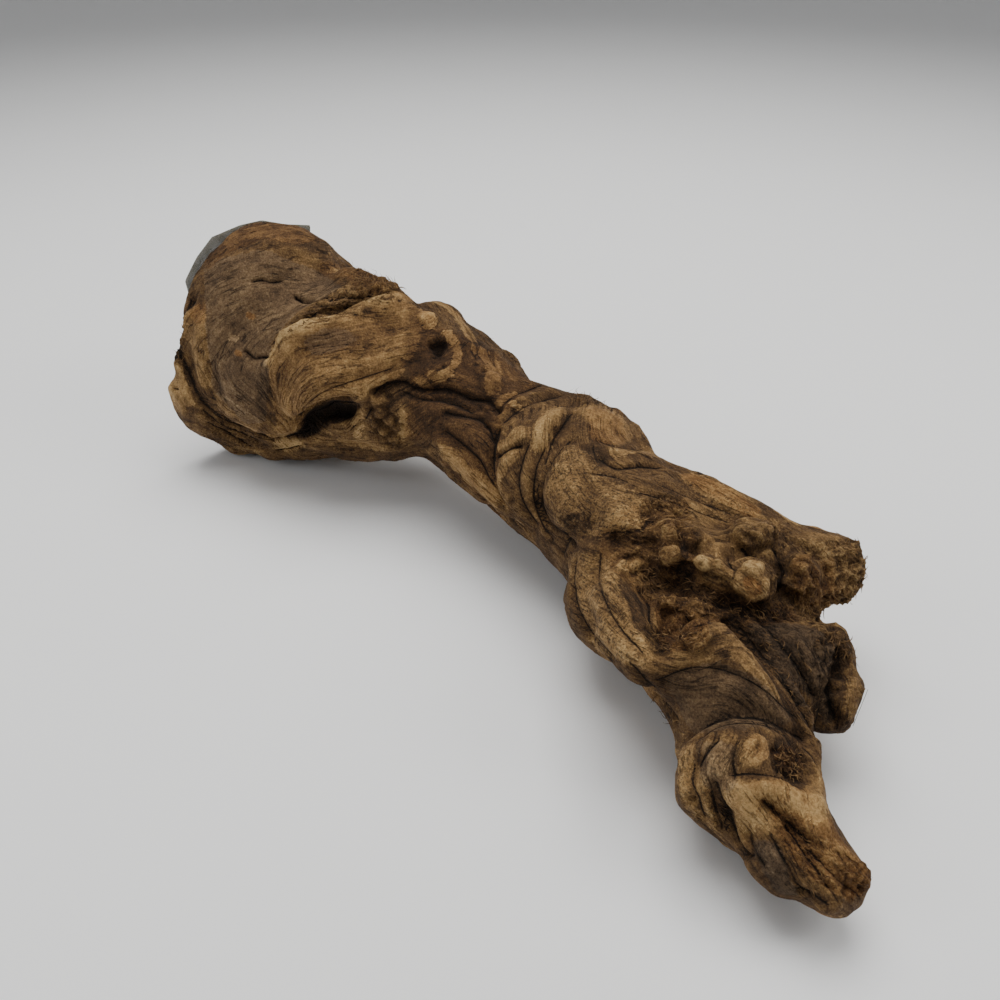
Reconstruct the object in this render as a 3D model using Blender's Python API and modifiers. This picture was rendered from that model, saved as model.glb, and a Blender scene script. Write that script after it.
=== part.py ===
"""One grown piece of old grapevine trunk: a flared butt with a sawn end, two cut stubs and a worn tip.

Metres, +Z up. The piece lies as it rests, with its long way along X: the thick butt at -X, the tip at +X.
Its origin is in the middle of its footprint, on the surface that it lies on.
"""

import math

import bmesh
import bpy
import numpy as np
from mathutils import Matrix, Vector, noise
from mathutils.bvhtree import BVHTree

MM = 0.001

# The reference view looks down at the piece from this height and at this slope. Its height sets the scale.
VIEW_HEIGHT = 345 * MM
VIEW_PITCH = math.radians(34)
VIEW_FOCAL_PX = 1050
VIEW_CENTRE_PX = 500
VIEW_TURN = math.radians(49)
VIEW_FOOT = Vector((322.3 * MM, -298.6 * MM, 0))

WOOD_COLOUR = (0.16, 0.092, 0.048)
FILM_COLOUR = (0.4, 0.42, 0.34)

VOXEL = 2.4 * MM
MOST_TRIANGLES = 11400

# The skin's own roughness: how far it rises and how wide its swellings are.
COARSE_RISE = 3.0 * MM
COARSE_SIZE = 26 * MM
FINE_RISE = 1.6 * MM
FINE_SIZE = 11 * MM

# A station of a limb: where its middle is seen (pixels of the reference view), its height and its radius in mm.
CORE = [
    (285, 330, 74, 44), (340, 365, 70, 44), (425, 380, 66, 39), (502, 438, 57, 32), (576, 486, 50, 36),
    (648, 565, 46, 37), (702, 643, 40, 32), (733, 715, 36, 26), (753, 783, 29, 28), (785, 833, 25, 18),
    (820, 865, 22, 14), (833, 880, 20, 12),
]
CROWN = [
    (358, 300, 102, 21), (405, 329, 95, 18), (445, 350, 84, 17), (512, 402, 73, 15), (588, 432, 65, 17),
    (642, 494, 58, 17), (720, 528, 56, 17), (790, 563, 52, 17), (826, 567, 49, 17),
]
CROWN_CORNER = [(815, 580, 48, 14), (840, 588, 46, 9)]
BURL = [(690, 572, 54, 22), (735, 584, 52, 24), (788, 592, 45, 20)]
LOWER_STUB = [(715, 650, 45, 24), (770, 660, 43, 24), (792, 664, 42, 23), (802, 662, 40, 21)]
STUB_CORNER = [(808, 644, 42, 14), (832, 636, 42, 9)]
STUB_STEP = [(810, 700, 36, 14), (842, 702, 34, 13)]
ARM = [
    (620, 602, 56, 12), (652, 655, 56, 14), (705, 662, 56, 16), (750, 685, 54, 16), (785, 720, 48, 13),
    (806, 748, 42, 9),
]
FLANK = [(597, 574, 40, 14), (606, 618, 37, 16), (660, 650, 34, 13), (706, 724, 28, 12)]
TONGUE = [(430, 333, 86, 20), (380, 350, 84, 25), (332, 372, 80, 24), (302, 398, 64, 14)]
LOWER_ROOT = [(430, 420, 54, 18), (390, 425, 42, 17), (345, 436, 28, 13), (300, 444, 18, 11), (272, 446, 13, 9)]
LIMBS = [CORE, CROWN, CROWN_CORNER, BURL, LOWER_STUB, STUB_CORNER, STUB_STEP, ARM, FLANK, TONGUE, LOWER_ROOT]

# Round knobs of the burl: where each is seen (pixels), its middle's height and its radius in mm.
KNOBS = [
    (668, 533, 79, 7), (671, 556, 75.5, 7.5), (692, 535, 78, 6), (700, 563, 76, 6), (715, 567, 74.5, 6),
    (732, 574, 73, 6.5), (750, 583, 69, 12), (747, 536, 76, 9), (765, 532, 76.5, 7), (797, 577, 63, 11),
    (668, 606, 63, 7), (694, 612, 63, 8), (696, 634, 73, 7), (624, 567, 63, 5),
]

# Lumps of the butt, and the foot under the knuckle near the tip: middle (x, y, z) and half sizes, all in mm.
LUMPS = [
    ((-214, -9, 69), (57, 63, 68)),
    ((-190, -20, 76), (38, 40, 40)),
    ((-180, -35, 60), (36, 34, 42)),
    ((-220, -52, 45), (30, 32, 37)),
    ((-214, -34, 22), (34, 33, 27)),
    ((-212, 26, 36), (36, 36, 40)),
    ((-158, -18, 40), (34, 26, 26)),
    ((179, -42, 11), (24, 19, 15)),
]

# The big sawn face: a point on it and how far it leans. The small one is a plane that the view sees edge-on,
# through two pixels; its middle's height and how wide its cut reaches are in mm.
SAW_PLACE = Vector((-229 * MM, 0, 70 * MM))
SAW_LEAN = math.radians(4)
STUB_SAW_EDGE = [(866, 690), (852, 724)]
STUB_SAW_HEIGHT = 34
STUB_SAW_REACH = 44

# The clear sheets over the sawn faces. The big one's outline is given by the pixels that show it, then by
# its hidden corners (across, up) in mm from the face's middle; the small one's by its two sides.
FILM_THICK = 0.6 * MM
FILM_GAP = 0.3 * MM
FILM_SEEN = [(311, 240), (311, 225), (286, 224), (262, 220), (240, 225), (212, 237), (197, 257), (185, 281), (191, 303)]
FILM_HIDDEN = [(52, -14), (44, -44), (4, -56), (-34, -46), (-44, -4)]
STUB_FILM_SIDES = (16 * MM, 12 * MM)

# A fold: its rise and half width in mm, and the line that it follows (pixels of the reference view).
FOLDS = {
    "gap_behind_the_dome": (-3, 4, [(198, 305), (190, 335), (187, 362), (191, 387), (203, 404), (236, 424), (268, 441)]),
    "dome_edge": (3, 9, [(203, 330), (202, 380), (218, 402), (246, 418), (275, 424)]),
    "bark_crevice": (-5, 4, [(398, 293), (372, 303), (345, 312), (318, 320), (298, 330), (276, 352)]),
    "bark_shelf": (4, 7, [(376, 288), (352, 296), (330, 304), (306, 318)]),
    "tongue_top": (4, 6, [(398, 303), (362, 314), (322, 331), (292, 345), (270, 372)]),
    "tongue_lip": (4, 5, [(300, 414), (318, 398), (350, 394), (380, 380)]),
    "hollow": (-20, 8, [(308, 426), (322, 415), (342, 410)]),
    "hollow_slit": (-6, 4, [(300, 434), (284, 440), (266, 438)]),
    "burl_below_the_tongue": (6, 11, [(384, 420), (388, 434)]),
    "knot_eye": (-3.5, 5, [(437, 343), (438, 354)]),
    "knot_eye_ring": (2.5, 5, [(452, 338), (456, 355), (446, 368), (430, 370)]),
    "knot_above_the_eye": (3, 6, [(428, 316)]),
    "knot_right_of_the_eye": (4, 7, [(486, 368), (492, 384)]),
    "waist_groove": (-3.5, 5, [(378, 394), (398, 388), (422, 389), (456, 396), (492, 408)]),
    "lower_waist_groove": (-2, 4, [(446, 413), (480, 422), (502, 434)]),
    "belly_ridge": (3, 7, [(440, 448), (462, 468), (484, 488), (502, 504)]),
    "first_collar": (4, 6, [(524, 428), (510, 450), (507, 480), (520, 510)]),
    "first_collar_groove": (-3, 4, [(516, 408), (500, 432), (495, 462), (503, 494)]),
    "second_collar": (3, 6, [(556, 412), (536, 440), (526, 475), (530, 512)]),
    "second_collar_groove": (-4, 4, [(562, 430), (546, 455), (540, 482), (539, 508), (548, 532), (572, 553)]),
    "cheek": (7, 17, [(566, 480), (568, 508)]),
    "small_cheek": (5, 13, [(622, 512)]),
    "knuckle_top": (5, 15, [(594, 418)]),
    "cheek_cleft": (-3, 6, [(596, 490), (592, 530)]),
    "top_cleft": (-2, 4, [(590, 462), (625, 470), (668, 472)]),
    "top_ridge": (3, 9, [(650, 462), (705, 486), (760, 512)]),
    "upper_pit": (-6, 9, [(648, 512), (672, 502)]),
    "long_pit": (-8, 10, [(640, 578), (672, 592), (705, 600), (745, 612), (785, 614)]),
    "left_pit": (-5, 8, [(612, 545), (640, 550)]),
    "flank_ridge": (4, 8, [(582, 572), (588, 612), (612, 648), (636, 676)]),
    "flank_band": (3, 8, [(608, 580), (616, 618), (640, 648)]),
    "arm_pit": (-9, 7, [(654, 632), (680, 622)]),
    "arm_edge": (3, 7, [(640, 640), (660, 654), (700, 642), (722, 628), (748, 648), (775, 678), (800, 715)]),
    "arm_crevice": (-9, 5, [(738, 622), (760, 650), (785, 682), (803, 710), (817, 742)]),
    "arm_foot_groove": (-4, 4, [(672, 738), (692, 728), (718, 714), (748, 711), (778, 718), (804, 736)]),
    "stub_wedge": (-5, 4, [(796, 616), (815, 616), (838, 611)]),
    "lower_stub_flute": (-4, 6, [(762, 640), (785, 668), (806, 702)]),
    "lower_stub_step": (-5, 5, [(846, 660), (838, 690), (832, 718)]),
    "front_knob": (5, 8, [(752, 746), (757, 758)]),
    "front_left_lobe": (4, 8, [(716, 762), (706, 790)]),
    "front_left_knob": (4, 7, [(688, 796)]),
    "front_right_lobe": (3, 7, [(812, 776), (818, 796)]),
    "front_pocket": (-4, 7, [(786, 758)]),
    "front_slot": (-4, 4, [(700, 762), (714, 792), (726, 822)]),
    "tip_shoulder": (5, 6, [(738, 790), (768, 788), (800, 800), (818, 814)]),
    "tip_groove": (-4, 4, [(764, 800), (786, 820), (802, 842)]),
    "tip_left_ridge": (3, 5, [(768, 812), (788, 848), (828, 892)]),
    "tip_right_ridge": (3, 5, [(808, 818), (836, 846), (864, 876)]),
    "tip_left_lump": (7, 8, [(758, 860), (776, 874)]),
    "tip_low_lump": (4, 6, [(834, 904)]),
}


# The same for the sides that the reference view doesn't show, with each line's points (x, y, z) in mm.
HIDDEN_FOLDS = {
    "back_ridge_high": (4, 8, [(-170, 50, 98), (-110, 52, 88), (-50, 56, 70), (10, 68, 62), (60, 68, 56)]),
    "back_ridge_low": (4, 9, [(-180, 55, 40), (-120, 55, 42), (-50, 52, 36), (10, 60, 30), (70, 50, 22)]),
    "back_groove": (-5, 6, [(-165, 62, 68), (-110, 60, 62), (-50, 54, 52), (5, 64, 46), (60, 62, 40), (110, 52, 34)]),
    "back_knot": (5, 9, [(-70, 58, 52)]),
    "back_knot_eye": (-4, 4, [(-70, 58, 52)]),
    "back_boss": (6, 11, [(36, 66, 48)]),
    "back_boss_eye": (-4, 4, [(38, 68, 50)]),
    "butt_back_hollow": (-7, 22, [(-165, 48, 112), (-170, 56, 86)]),
    "rim_back_hollow": (-6, 14, [(-222, 28, 126), (-196, 40, 118)]),
    "butt_back_lobe": (5, 14, [(-204, 58, 62)]),
    "butt_back_cleft": (-7, 6, [(-218, 50, 112), (-190, 64, 84), (-166, 56, 52)]),
    "butt_low_cleft": (-6, 6, [(-218, 10, 4), (-185, 14, 6), (-160, 10, 18)]),
    "under_groove": (-5, 6, [(-150, 2, 26), (-90, 16, 26), (-30, 15, 22), (20, 20, 12), (70, 8, 8)]),
    "under_ridge": (4, 8, [(-140, -18, 28), (-80, -4, 30), (-20, 2, 22), (30, 6, 12)]),
    "stub_underside": (-5, 8, [(110, 40, 22), (140, 44, 22), (160, 44, 24)]),
    "knuckle_back_groove": (-5, 6, [(176, -6, 44), (186, -14, 30), (190, -20, 14)]),
}


def view_ray(px, py):
    """The line of sight through a pixel of the reference view, in the piece's frame."""
    across = (px - VIEW_CENTRE_PX) / VIEW_FOCAL_PX
    up = (VIEW_CENTRE_PX - py) / VIEW_FOCAL_PX
    ray = Vector((
        across,
        math.cos(VIEW_PITCH) + up * math.sin(VIEW_PITCH),
        -math.sin(VIEW_PITCH) + up * math.cos(VIEW_PITCH),
    ))
    return Matrix.Rotation(VIEW_TURN, 3, "Z") @ ray


def view_eye():
    """The place of the reference view's eye."""
    return VIEW_FOOT + Vector((0, 0, VIEW_HEIGHT))


def seen(px, py, height):
    """The point that the reference view shows at a pixel, at a height in mm."""
    ray = view_ray(px, py)
    return view_eye() + ray * ((height * MM - VIEW_HEIGHT) / ray.z)


def linked(name, data):
    """A new object in the piece's collection."""
    obj = bpy.data.objects.new(name, data)
    bpy.data.collections["grapewood"].objects.link(obj)
    return obj


def evaluated_mesh(obj):
    """A new mesh of what the object's modifiers and curve settings make."""
    bpy.context.view_layer.update()
    return bpy.data.meshes.new_from_object(obj.evaluated_get(bpy.context.evaluated_depsgraph_get()))


def ellipsoid(place, half_sizes):
    """A round lump of these half sizes."""
    bm = bmesh.new()
    bmesh.ops.create_uvsphere(bm, u_segments=24, v_segments=14, radius=1)
    mesh = bpy.data.meshes.new("lump")
    bm.to_mesh(mesh)
    bm.free()
    mesh.transform(Matrix.Translation(place) @ Matrix.Diagonal((*half_sizes, 1)))
    return mesh


def limb(stations):
    """The meshes of a tapered limb through the stations, with a round lump at each end."""
    curve = bpy.data.curves.new("limb", "CURVE")
    curve.dimensions = "3D"
    curve.resolution_u = 6
    curve.bevel_depth = 1
    curve.bevel_resolution = 4
    curve.use_fill_caps = True
    spline = curve.splines.new("BEZIER")
    spline.bezier_points.add(len(stations) - 1)
    for point, (px, py, height, radius) in zip(spline.bezier_points, stations):
        point.co = seen(px, py, height)
        point.radius = radius * MM
        point.handle_left_type = "AUTO"
        point.handle_right_type = "AUTO"
    obj = linked("limb", curve)
    meshes = [evaluated_mesh(obj)]
    bpy.data.objects.remove(obj)
    for px, py, height, radius in (stations[0], stations[-1]):
        meshes.append(ellipsoid(seen(px, py, height), [radius * MM] * 3))
    return meshes


def one_skin(obj, voxel, rounds):
    """Fuses an object's overlapping meshes into one closed skin, with the joins softened."""
    remesh = obj.modifiers.new("one_skin", "REMESH")
    remesh.mode = "VOXEL"
    remesh.voxel_size = voxel
    smooth = obj.modifiers.new("soft_joins", "SMOOTH")
    smooth.iterations = rounds
    smooth.factor = 0.6
    mesh = evaluated_mesh(obj)
    obj.modifiers.clear()
    obj.data = mesh


def steps_between(corners, pitch):
    """Points at this pitch along the straight stretches between the corners."""
    line = [Vector(corners[0])]
    for start, end in zip(corners, corners[1:]):
        start = Vector(start)
        end = Vector(end)
        count = max(1, round((end - start).length / pitch))
        line += [start.lerp(end, step / count) for step in range(1, count + 1)]
    return line


def seen_line(bvh, pixels):
    """The surface's points and outward directions under a line of pixels."""
    rays = [view_ray(x, y).normalized() for x, y in steps_between(pixels, 3)]
    hits = [bvh.ray_cast(view_eye(), ray)[:2] for ray in rays]
    return [hit for hit in hits if hit[0] is not None]


def hidden_line(bvh, places):
    """The surface's points and outward directions nearest to a line through places in mm."""
    return [bvh.find_nearest(place * MM)[:2] for place in steps_between(places, 2)]


def read(mesh, name):
    """One three-number value of every vertex, as an array of rows."""
    values = np.empty(len(mesh.vertices) * 3)
    mesh.vertices.foreach_get(name, values)
    return values.reshape(-1, 3)


def sculpt(mesh):
    """Raises and sinks the skin along each fold, with a bell-shaped cross-section, and roughens it a little."""
    places = read(mesh, "co")
    normals = read(mesh, "normal")
    bm = bmesh.new()
    bm.from_mesh(mesh)
    bvh = BVHTree.FromBMesh(bm)
    bm.free()
    folds = [(amount, width, seen_line(bvh, line)) for amount, width, line in FOLDS.values()]
    folds += [(amount, width, hidden_line(bvh, line)) for amount, width, line in HIDDEN_FOLDS.values()]
    rise = np.array([
        COARSE_RISE * noise.noise(Vector(place) / COARSE_SIZE) + FINE_RISE * noise.noise(Vector(place) / FINE_SIZE)
        for place in places
    ])
    for amount, half_width, hits in folds:
        if not hits:
            continue
        points = np.array([hit[0] for hit in hits])
        directions = np.array([hit[1] for hit in hits])
        gaps = np.linalg.norm(places[:, None, :] - points[None, :, :], axis=2)
        nearest = gaps.argmin(axis=1)
        gap = gaps[np.arange(len(places)), nearest] / (half_width * MM)
        facing = np.einsum("ij,ij->i", normals, directions[nearest])
        rise += amount * MM * np.exp(-gap ** 2) * np.clip(facing * 2, 0, 1)
    places = places + normals * rise[:, None]
    mesh.vertices.foreach_set("co", places.ravel())
    mesh.update()


def add_knobs(mesh):
    """Sets the burl's round knobs into the skin."""
    bm = bmesh.new()
    bm.from_mesh(mesh)
    for px, py, height, radius in KNOBS:
        bm.from_mesh(ellipsoid(seen(px, py, height), [radius * MM] * 3))
    bm.to_mesh(mesh)
    bm.free()


def cutter(name, size, matrix):
    """A box that cuts the wood, kept out of the render."""
    bm = bmesh.new()
    bmesh.ops.create_cube(bm, size=1)
    mesh = bpy.data.meshes.new(name)
    bm.to_mesh(mesh)
    bm.free()
    mesh.transform(Matrix.Diagonal((*size, 1)))
    obj = bpy.data.objects.new(name, mesh)
    bpy.data.collections["cutters"].objects.link(obj)
    obj.matrix_world = matrix
    obj.hide_render = True
    obj.display_type = "WIRE"
    return obj


def cut(obj, tool):
    """Takes the cutter's box away from the object."""
    boolean = obj.modifiers.new(tool.name, "BOOLEAN")
    boolean.operation = "DIFFERENCE"
    boolean.solver = "EXACT"
    boolean.object = tool


def saw_frame():
    """The sawn face's frame: its middle, with local X out of the wood."""
    return Matrix.Translation(SAW_PLACE) @ Matrix.Rotation(math.pi, 4, "Z") @ Matrix.Rotation(SAW_LEAN, 4, "Y")


def edge_on_frame(pixels, height):
    """The frame of a plane that the view sees edge-on: local X points out of the wood, local Y runs along the edge."""
    start, end = [view_ray(x, y).normalized() for x, y in pixels]
    outward = end.cross(start).normalized()
    middle = seen((pixels[0][0] + pixels[1][0]) / 2, (pixels[0][1] + pixels[1][1]) / 2, height)
    along = (end - start).normalized()
    axes = Matrix((outward, along, outward.cross(along))).transposed().to_4x4()
    return Matrix.Translation(middle) @ axes


def finish(obj, colour, roughness):
    """Gives an object its one plain material."""
    material = bpy.data.materials.new(obj.name)
    material.use_nodes = True
    shader = material.node_tree.nodes["Principled BSDF"]
    shader.inputs["Base Color"].default_value = (*colour, 1)
    shader.inputs["Roughness"].default_value = roughness
    shader.inputs["Metallic"].default_value = 0
    obj.data.materials.clear()
    obj.data.materials.append(material)


def sheet(name, corners, frame):
    """A thin flat sheet with these corners (across, up) in its frame, just clear of the frame's plane."""
    curve = bpy.data.curves.new(name, "CURVE")
    curve.dimensions = "2D"
    curve.fill_mode = "BOTH"
    curve.extrude = FILM_THICK / 2
    spline = curve.splines.new("POLY")
    spline.points.add(len(corners) - 1)
    for point, (across, up) in zip(spline.points, corners):
        point.co = (across, up, 0, 1)
    spline.use_cyclic_u = True
    flat = linked(name, curve)
    mesh = evaluated_mesh(flat)
    bpy.data.objects.remove(flat)
    bm = bmesh.new()
    bm.from_mesh(mesh)
    bmesh.ops.remove_doubles(bm, verts=bm.verts, dist=0.01 * MM)
    bmesh.ops.recalc_face_normals(bm, faces=bm.faces)
    bm.to_mesh(mesh)
    bm.free()
    upright = Matrix.Rotation(math.pi / 2, 4, "Y") @ Matrix.Rotation(math.pi / 2, 4, "Z")
    obj = linked(name, mesh)
    obj.matrix_world = frame @ Matrix.Translation((FILM_GAP + FILM_THICK / 2, 0, 0)) @ upright
    finish(obj, FILM_COLOUR, 0.3)
    return obj


def end_film():
    """The sheet over the big sawn face: its corners stick out past the rim."""
    frame = saw_frame()
    inverse = frame.inverted()
    corners = []
    for x, y in FILM_SEEN:
        eye = inverse @ view_eye()
        ray = inverse.to_3x3() @ view_ray(x, y)
        hit = eye - ray * (eye.x / ray.x)
        corners.append((hit.y, hit.z))
    corners += [(across * MM, up * MM) for across, up in FILM_HIDDEN]
    return sheet("end_film", corners, frame)


def stub_film():
    """The scrap of the same sheet over the lower stub's sawn face."""
    wide, high = STUB_FILM_SIDES
    corners = [(-wide / 2, -high / 2), (wide / 2, -high / 2), (wide / 2, high / 2), (-wide / 2, high / 2)]
    return sheet("stub_film", corners, edge_on_frame(STUB_SAW_EDGE, STUB_SAW_HEIGHT))


def vine_wood():
    """The whole grown piece."""
    bm = bmesh.new()
    for stations in LIMBS:
        for mesh in limb(stations):
            bm.from_mesh(mesh)
    for place, half_sizes in LUMPS:
        bm.from_mesh(ellipsoid([v * MM for v in place], [v * MM for v in half_sizes]))
    rough = bpy.data.meshes.new("vine_wood")
    bm.to_mesh(rough)
    bm.free()
    wood = linked("vine_wood", rough)
    one_skin(wood, VOXEL, 8)
    sculpt(wood.data)
    add_knobs(wood.data)
    one_skin(wood, VOXEL, 2)
    coarser = wood.modifiers.new("fewer_faces", "DECIMATE")
    coarser.ratio = min(1, MOST_TRIANGLES / sum(len(face.vertices) - 2 for face in wood.data.polygons))
    wood.data = evaluated_mesh(wood)
    wood.modifiers.clear()
    box = 0.4
    saw = cutter("saw_cut", (box, box, box), saw_frame() @ Matrix.Translation((box / 2, 0, 0)))
    floor = cutter("floor_cut", (1, 1, box), Matrix.Translation((0, 0, -box / 2)))
    reach = STUB_SAW_REACH * MM
    stub_place = edge_on_frame(STUB_SAW_EDGE, STUB_SAW_HEIGHT) @ Matrix.Translation((reach / 2, 0, 0))
    stub_saw = cutter("stub_saw_cut", (reach, reach, 2 * reach), stub_place)
    for tool in (saw, floor, stub_saw):
        cut(wood, tool)
    finish(wood, WOOD_COLOUR, 0.85)
    return wood


def main():
    for obj in list(bpy.data.objects):
        bpy.data.objects.remove(obj)
    for name in ("grapewood", "cutters"):
        bpy.context.scene.collection.children.link(bpy.data.collections.new(name))
    vine_wood()
    end_film()
    stub_film()


main()
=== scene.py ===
"""The looks of a sandblasted piece of old grapevine trunk, lying on a pale floor.

The grown wood is one skin. It starts from the solid's own skin, made finer and softened, and is then carved
with whole arrays: folds, steps, knots and holes along named lines, strands that follow the grain, and
roughness. Numbers are millimetres in the tables and metres in the meshes.
"""

import math

import bmesh
import bpy
import numpy as np
from mathutils import Matrix, Vector
from mathutils.bvhtree import BVHTree


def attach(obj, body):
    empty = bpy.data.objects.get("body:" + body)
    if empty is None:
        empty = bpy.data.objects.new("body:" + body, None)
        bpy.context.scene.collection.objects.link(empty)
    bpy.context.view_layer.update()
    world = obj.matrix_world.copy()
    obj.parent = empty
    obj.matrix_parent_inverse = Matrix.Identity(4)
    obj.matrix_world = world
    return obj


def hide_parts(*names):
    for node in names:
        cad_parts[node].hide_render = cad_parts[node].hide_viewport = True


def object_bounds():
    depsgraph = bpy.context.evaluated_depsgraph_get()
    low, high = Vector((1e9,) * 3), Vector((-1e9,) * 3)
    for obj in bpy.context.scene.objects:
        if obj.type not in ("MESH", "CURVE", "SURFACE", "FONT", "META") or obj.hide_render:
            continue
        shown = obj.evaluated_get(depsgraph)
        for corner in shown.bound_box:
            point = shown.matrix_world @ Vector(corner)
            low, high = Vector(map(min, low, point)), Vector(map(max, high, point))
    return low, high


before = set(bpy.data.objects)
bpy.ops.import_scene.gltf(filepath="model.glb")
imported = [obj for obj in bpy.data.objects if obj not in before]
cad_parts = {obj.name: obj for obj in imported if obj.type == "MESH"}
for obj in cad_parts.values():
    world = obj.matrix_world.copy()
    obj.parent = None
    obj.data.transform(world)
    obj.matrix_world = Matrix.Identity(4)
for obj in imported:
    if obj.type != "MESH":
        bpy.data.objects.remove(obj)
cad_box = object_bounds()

MM = 0.001

# The reference view, as the solids have it. Last are the camera's sensor in mm and the nearest thing it sees.
VIEW_HEIGHT = 345 * MM
VIEW_PITCH = math.radians(34)
VIEW_FOCAL_PX = 1050
VIEW_CENTRE_PX = 500
VIEW_TURN = math.radians(49)
VIEW_FOOT = Vector((322.3 * MM, -298.6 * MM, 0))
SENSOR = 36
NEAREST_SEEN = 0.01

# The big sawn face: a point on it, the way it faces, and where the growth rings' middle is.
SAW_PLACE = np.array((-229.0, 0.0, 70.0))
SAW_LEAN = math.radians(4)
SAW_OUT = np.array((-math.cos(SAW_LEAN), 0, -math.sin(SAW_LEAN)))
PITH = np.array((-228.0, -16.0, 78.0))

# The ground: a flat round floor that bends up into a wall, in metres.
GROUND_MIDDLE = 0.05
GROUND_FLAT = 1.7
GROUND_BEND = 0.9
GROUND_TOP = 3.0
GROUND_SINK = 0.0002
GROUND_SIDES = 96
GROUND_RINGS = 12
GROUND_BEND_RINGS = 16

# Light: a soft sky, and lamps as (name, metres to the right, far off and up, size, power, colour).
SKY_COLOUR = (0.95, 0.97, 1.0)
SKY_STRENGTH = 0.53
LAMPS = [
    ("overhead", (-0.05, 0.35, 1.3), 1.2, 19.0, (1, 0.99, 0.97)),
    ("from_the_right", (0.9, -0.2, 0.75), 0.5, 3.2, (1, 0.98, 0.95)),
    ("from_the_left", (-0.9, -0.5, 0.6), 0.6, 2.4, (0.96, 0.98, 1)),
]
LAMP_AIM = Vector((0, 0, 0.04))

# The wood's skin: its voxels, and the times that things on it are softened over their neighbours.
SKIN_VOXEL = 1.53 * MM
SAME_POINT = 0.02 * MM
SOFTEN_ROUNDS = 11
HIDDEN_ROUNDS = 10
FIELD_ROUNDS = 3
PATCH_ROUNDS = 9
SHADE_ROUNDS = 16

# Casting lines on to the skin: how far out a cast starts, and the longest step that is no gap.
CAST_FROM = 0.2
LONGEST_STEP = 14 * MM

# Grooves deeper and narrower than this, in mm, are drawn as crack lines, and a lapped edge's line of painted
# shade has this half width.
CRACK_DEPTH = 0.75
CRACK_WIDTH = 3
STEP_SHADE_LINE = 0.55

# A distance larger than any that is looked for.
FAR = 9.0

# The most rounds that the distance across the fibres is solved in, and how far all stays inside the solids'
# box.
MOST_ROUNDS = 900
BOX_EDGE = 0.05 * MM

# What the view sees: the cells that it is split into, in pixels, how much farther than the nearest thing in
# its cell a hidden vertex is, and how steeply a seen one may be turned from the eye.
VIEW_CELL = 5
CELLS_IN_ROW = 1000
HIDDEN_BY = 9 * MM
SEEN_FROM = 0.02

# Weathering. Strands are (height, length and width in mm, seed, how much more there is on hidden sides).
# Lumps and pits are (height or depth, size in mm, seed), and drying cracks (depth, length, width, seed). The
# areas that cracks, rays and islands of colour keep to are (size, seed), or (length, width, seed). Rays on
# the sawn face are (depth, fineness, seed).
STRANDS = [(0.34, 16, 3.1, 11, 1.2), (0.5, 30, 7.5, 12, 1.6)]
LUMPS = (0.22, 3.2, 13)
PITS = (0.7, 5.5, 14)
DRYING_CRACKS = (1.3, 22, 6, 15)
CRACK_AREAS = (26, 16)
SAWN_RAYS = (0.5, 7, 19)
RAY_AREAS = (20, 20)
PALE_ISLANDS = (38, 20, 17)
RUST_ISLANDS = (34, 18)
PALE_ISLAND_AMOUNT = 0.5
RUST_ISLAND_AMOUNT = 0.45

# What carving keeps to, in mm: the narrowest fold and hole that the skin can hold, the depth at which a
# fold's valley is fully painted in shade, the length of the strands of bark, the strength of a fully rough
# field, and how near the sawn face counts as sawn.
NARROWEST_FOLD = 1.3
NARROWEST_HOLE = 1.1
DEEP_FOLD = 4.5
DEEP_BACK_FOLD = 4
BARK_STRAND = 9
FULL_ROUGH = 2.4
SAW_BAND = 1.6

# The films: their thickness as it is shown, how far they wave, and the points on their outline and rings.
FILM_THICKNESS = 0.18 * MM
END_FILM_WAVE = 0.12 * MM
STUB_FILM_WAVE = 0.06 * MM
FILM_WAVE_LENGTH = 13 * MM
FILM_INSET = 0.995
FILM_SEED = 31
FILM_AROUND = 180
FILM_RINGS = 24

# Torn fibres: the seed of their chances, how many places are tried for each, and the ranges of each one's own
# size, width and lift. Then the spread of their turn from the grain and of their sway, where the sway's sine
# can start and how far it runs. Then the share of a fibre behind its root and under the skin, and the powers
# of its lift and its taper. Last are its flatness, the stations along it, its corners' angles and its point's
# half width.
SHRED_SEED = 19
SHRED_TRIES = 8
SHRED_SIZES = (0.45, 1.25)
SHRED_WIDTHS = (0.6, 1.3)
SHRED_LIFTS = (0.2, 1.6)
SHRED_TURN = 0.55
SHRED_SWAY = 0.22
SHRED_PHASES = 6.3
SHRED_WAVE = 4.2
SHRED_BEHIND = 0.12
SHRED_UNDER = 0.05
SHRED_LIFT_POWER = 1.5
SHRED_TAPER_POWER = 1.6
SHRED_FLATNESS = 0.5
SHRED_STATIONS = 7
SHRED_CORNERS = (0.5, 2.6, 4.7)
SHRED_POINT = 0.02 * MM

CHANNELS = ("pale", "dark", "orange", "grey", "fleck")

# Where a knot's groove is in its row, and the groove from which its foot is painted in shade.
KNOT_GROOVE = 4
DARK_GROOVE = 0.6


# The view

def view_ray(px, py):
    """The line of sight through a pixel of the reference view."""
    across = (px - VIEW_CENTRE_PX) / VIEW_FOCAL_PX
    up = (VIEW_CENTRE_PX - py) / VIEW_FOCAL_PX
    ray = Vector((
        across,
        math.cos(VIEW_PITCH) + up * math.sin(VIEW_PITCH),
        -math.sin(VIEW_PITCH) + up * math.cos(VIEW_PITCH),
    ))
    return (Matrix.Rotation(VIEW_TURN, 3, "Z") @ ray).normalized()


VIEW_EYE = VIEW_FOOT + Vector((0, 0, VIEW_HEIGHT))


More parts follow.
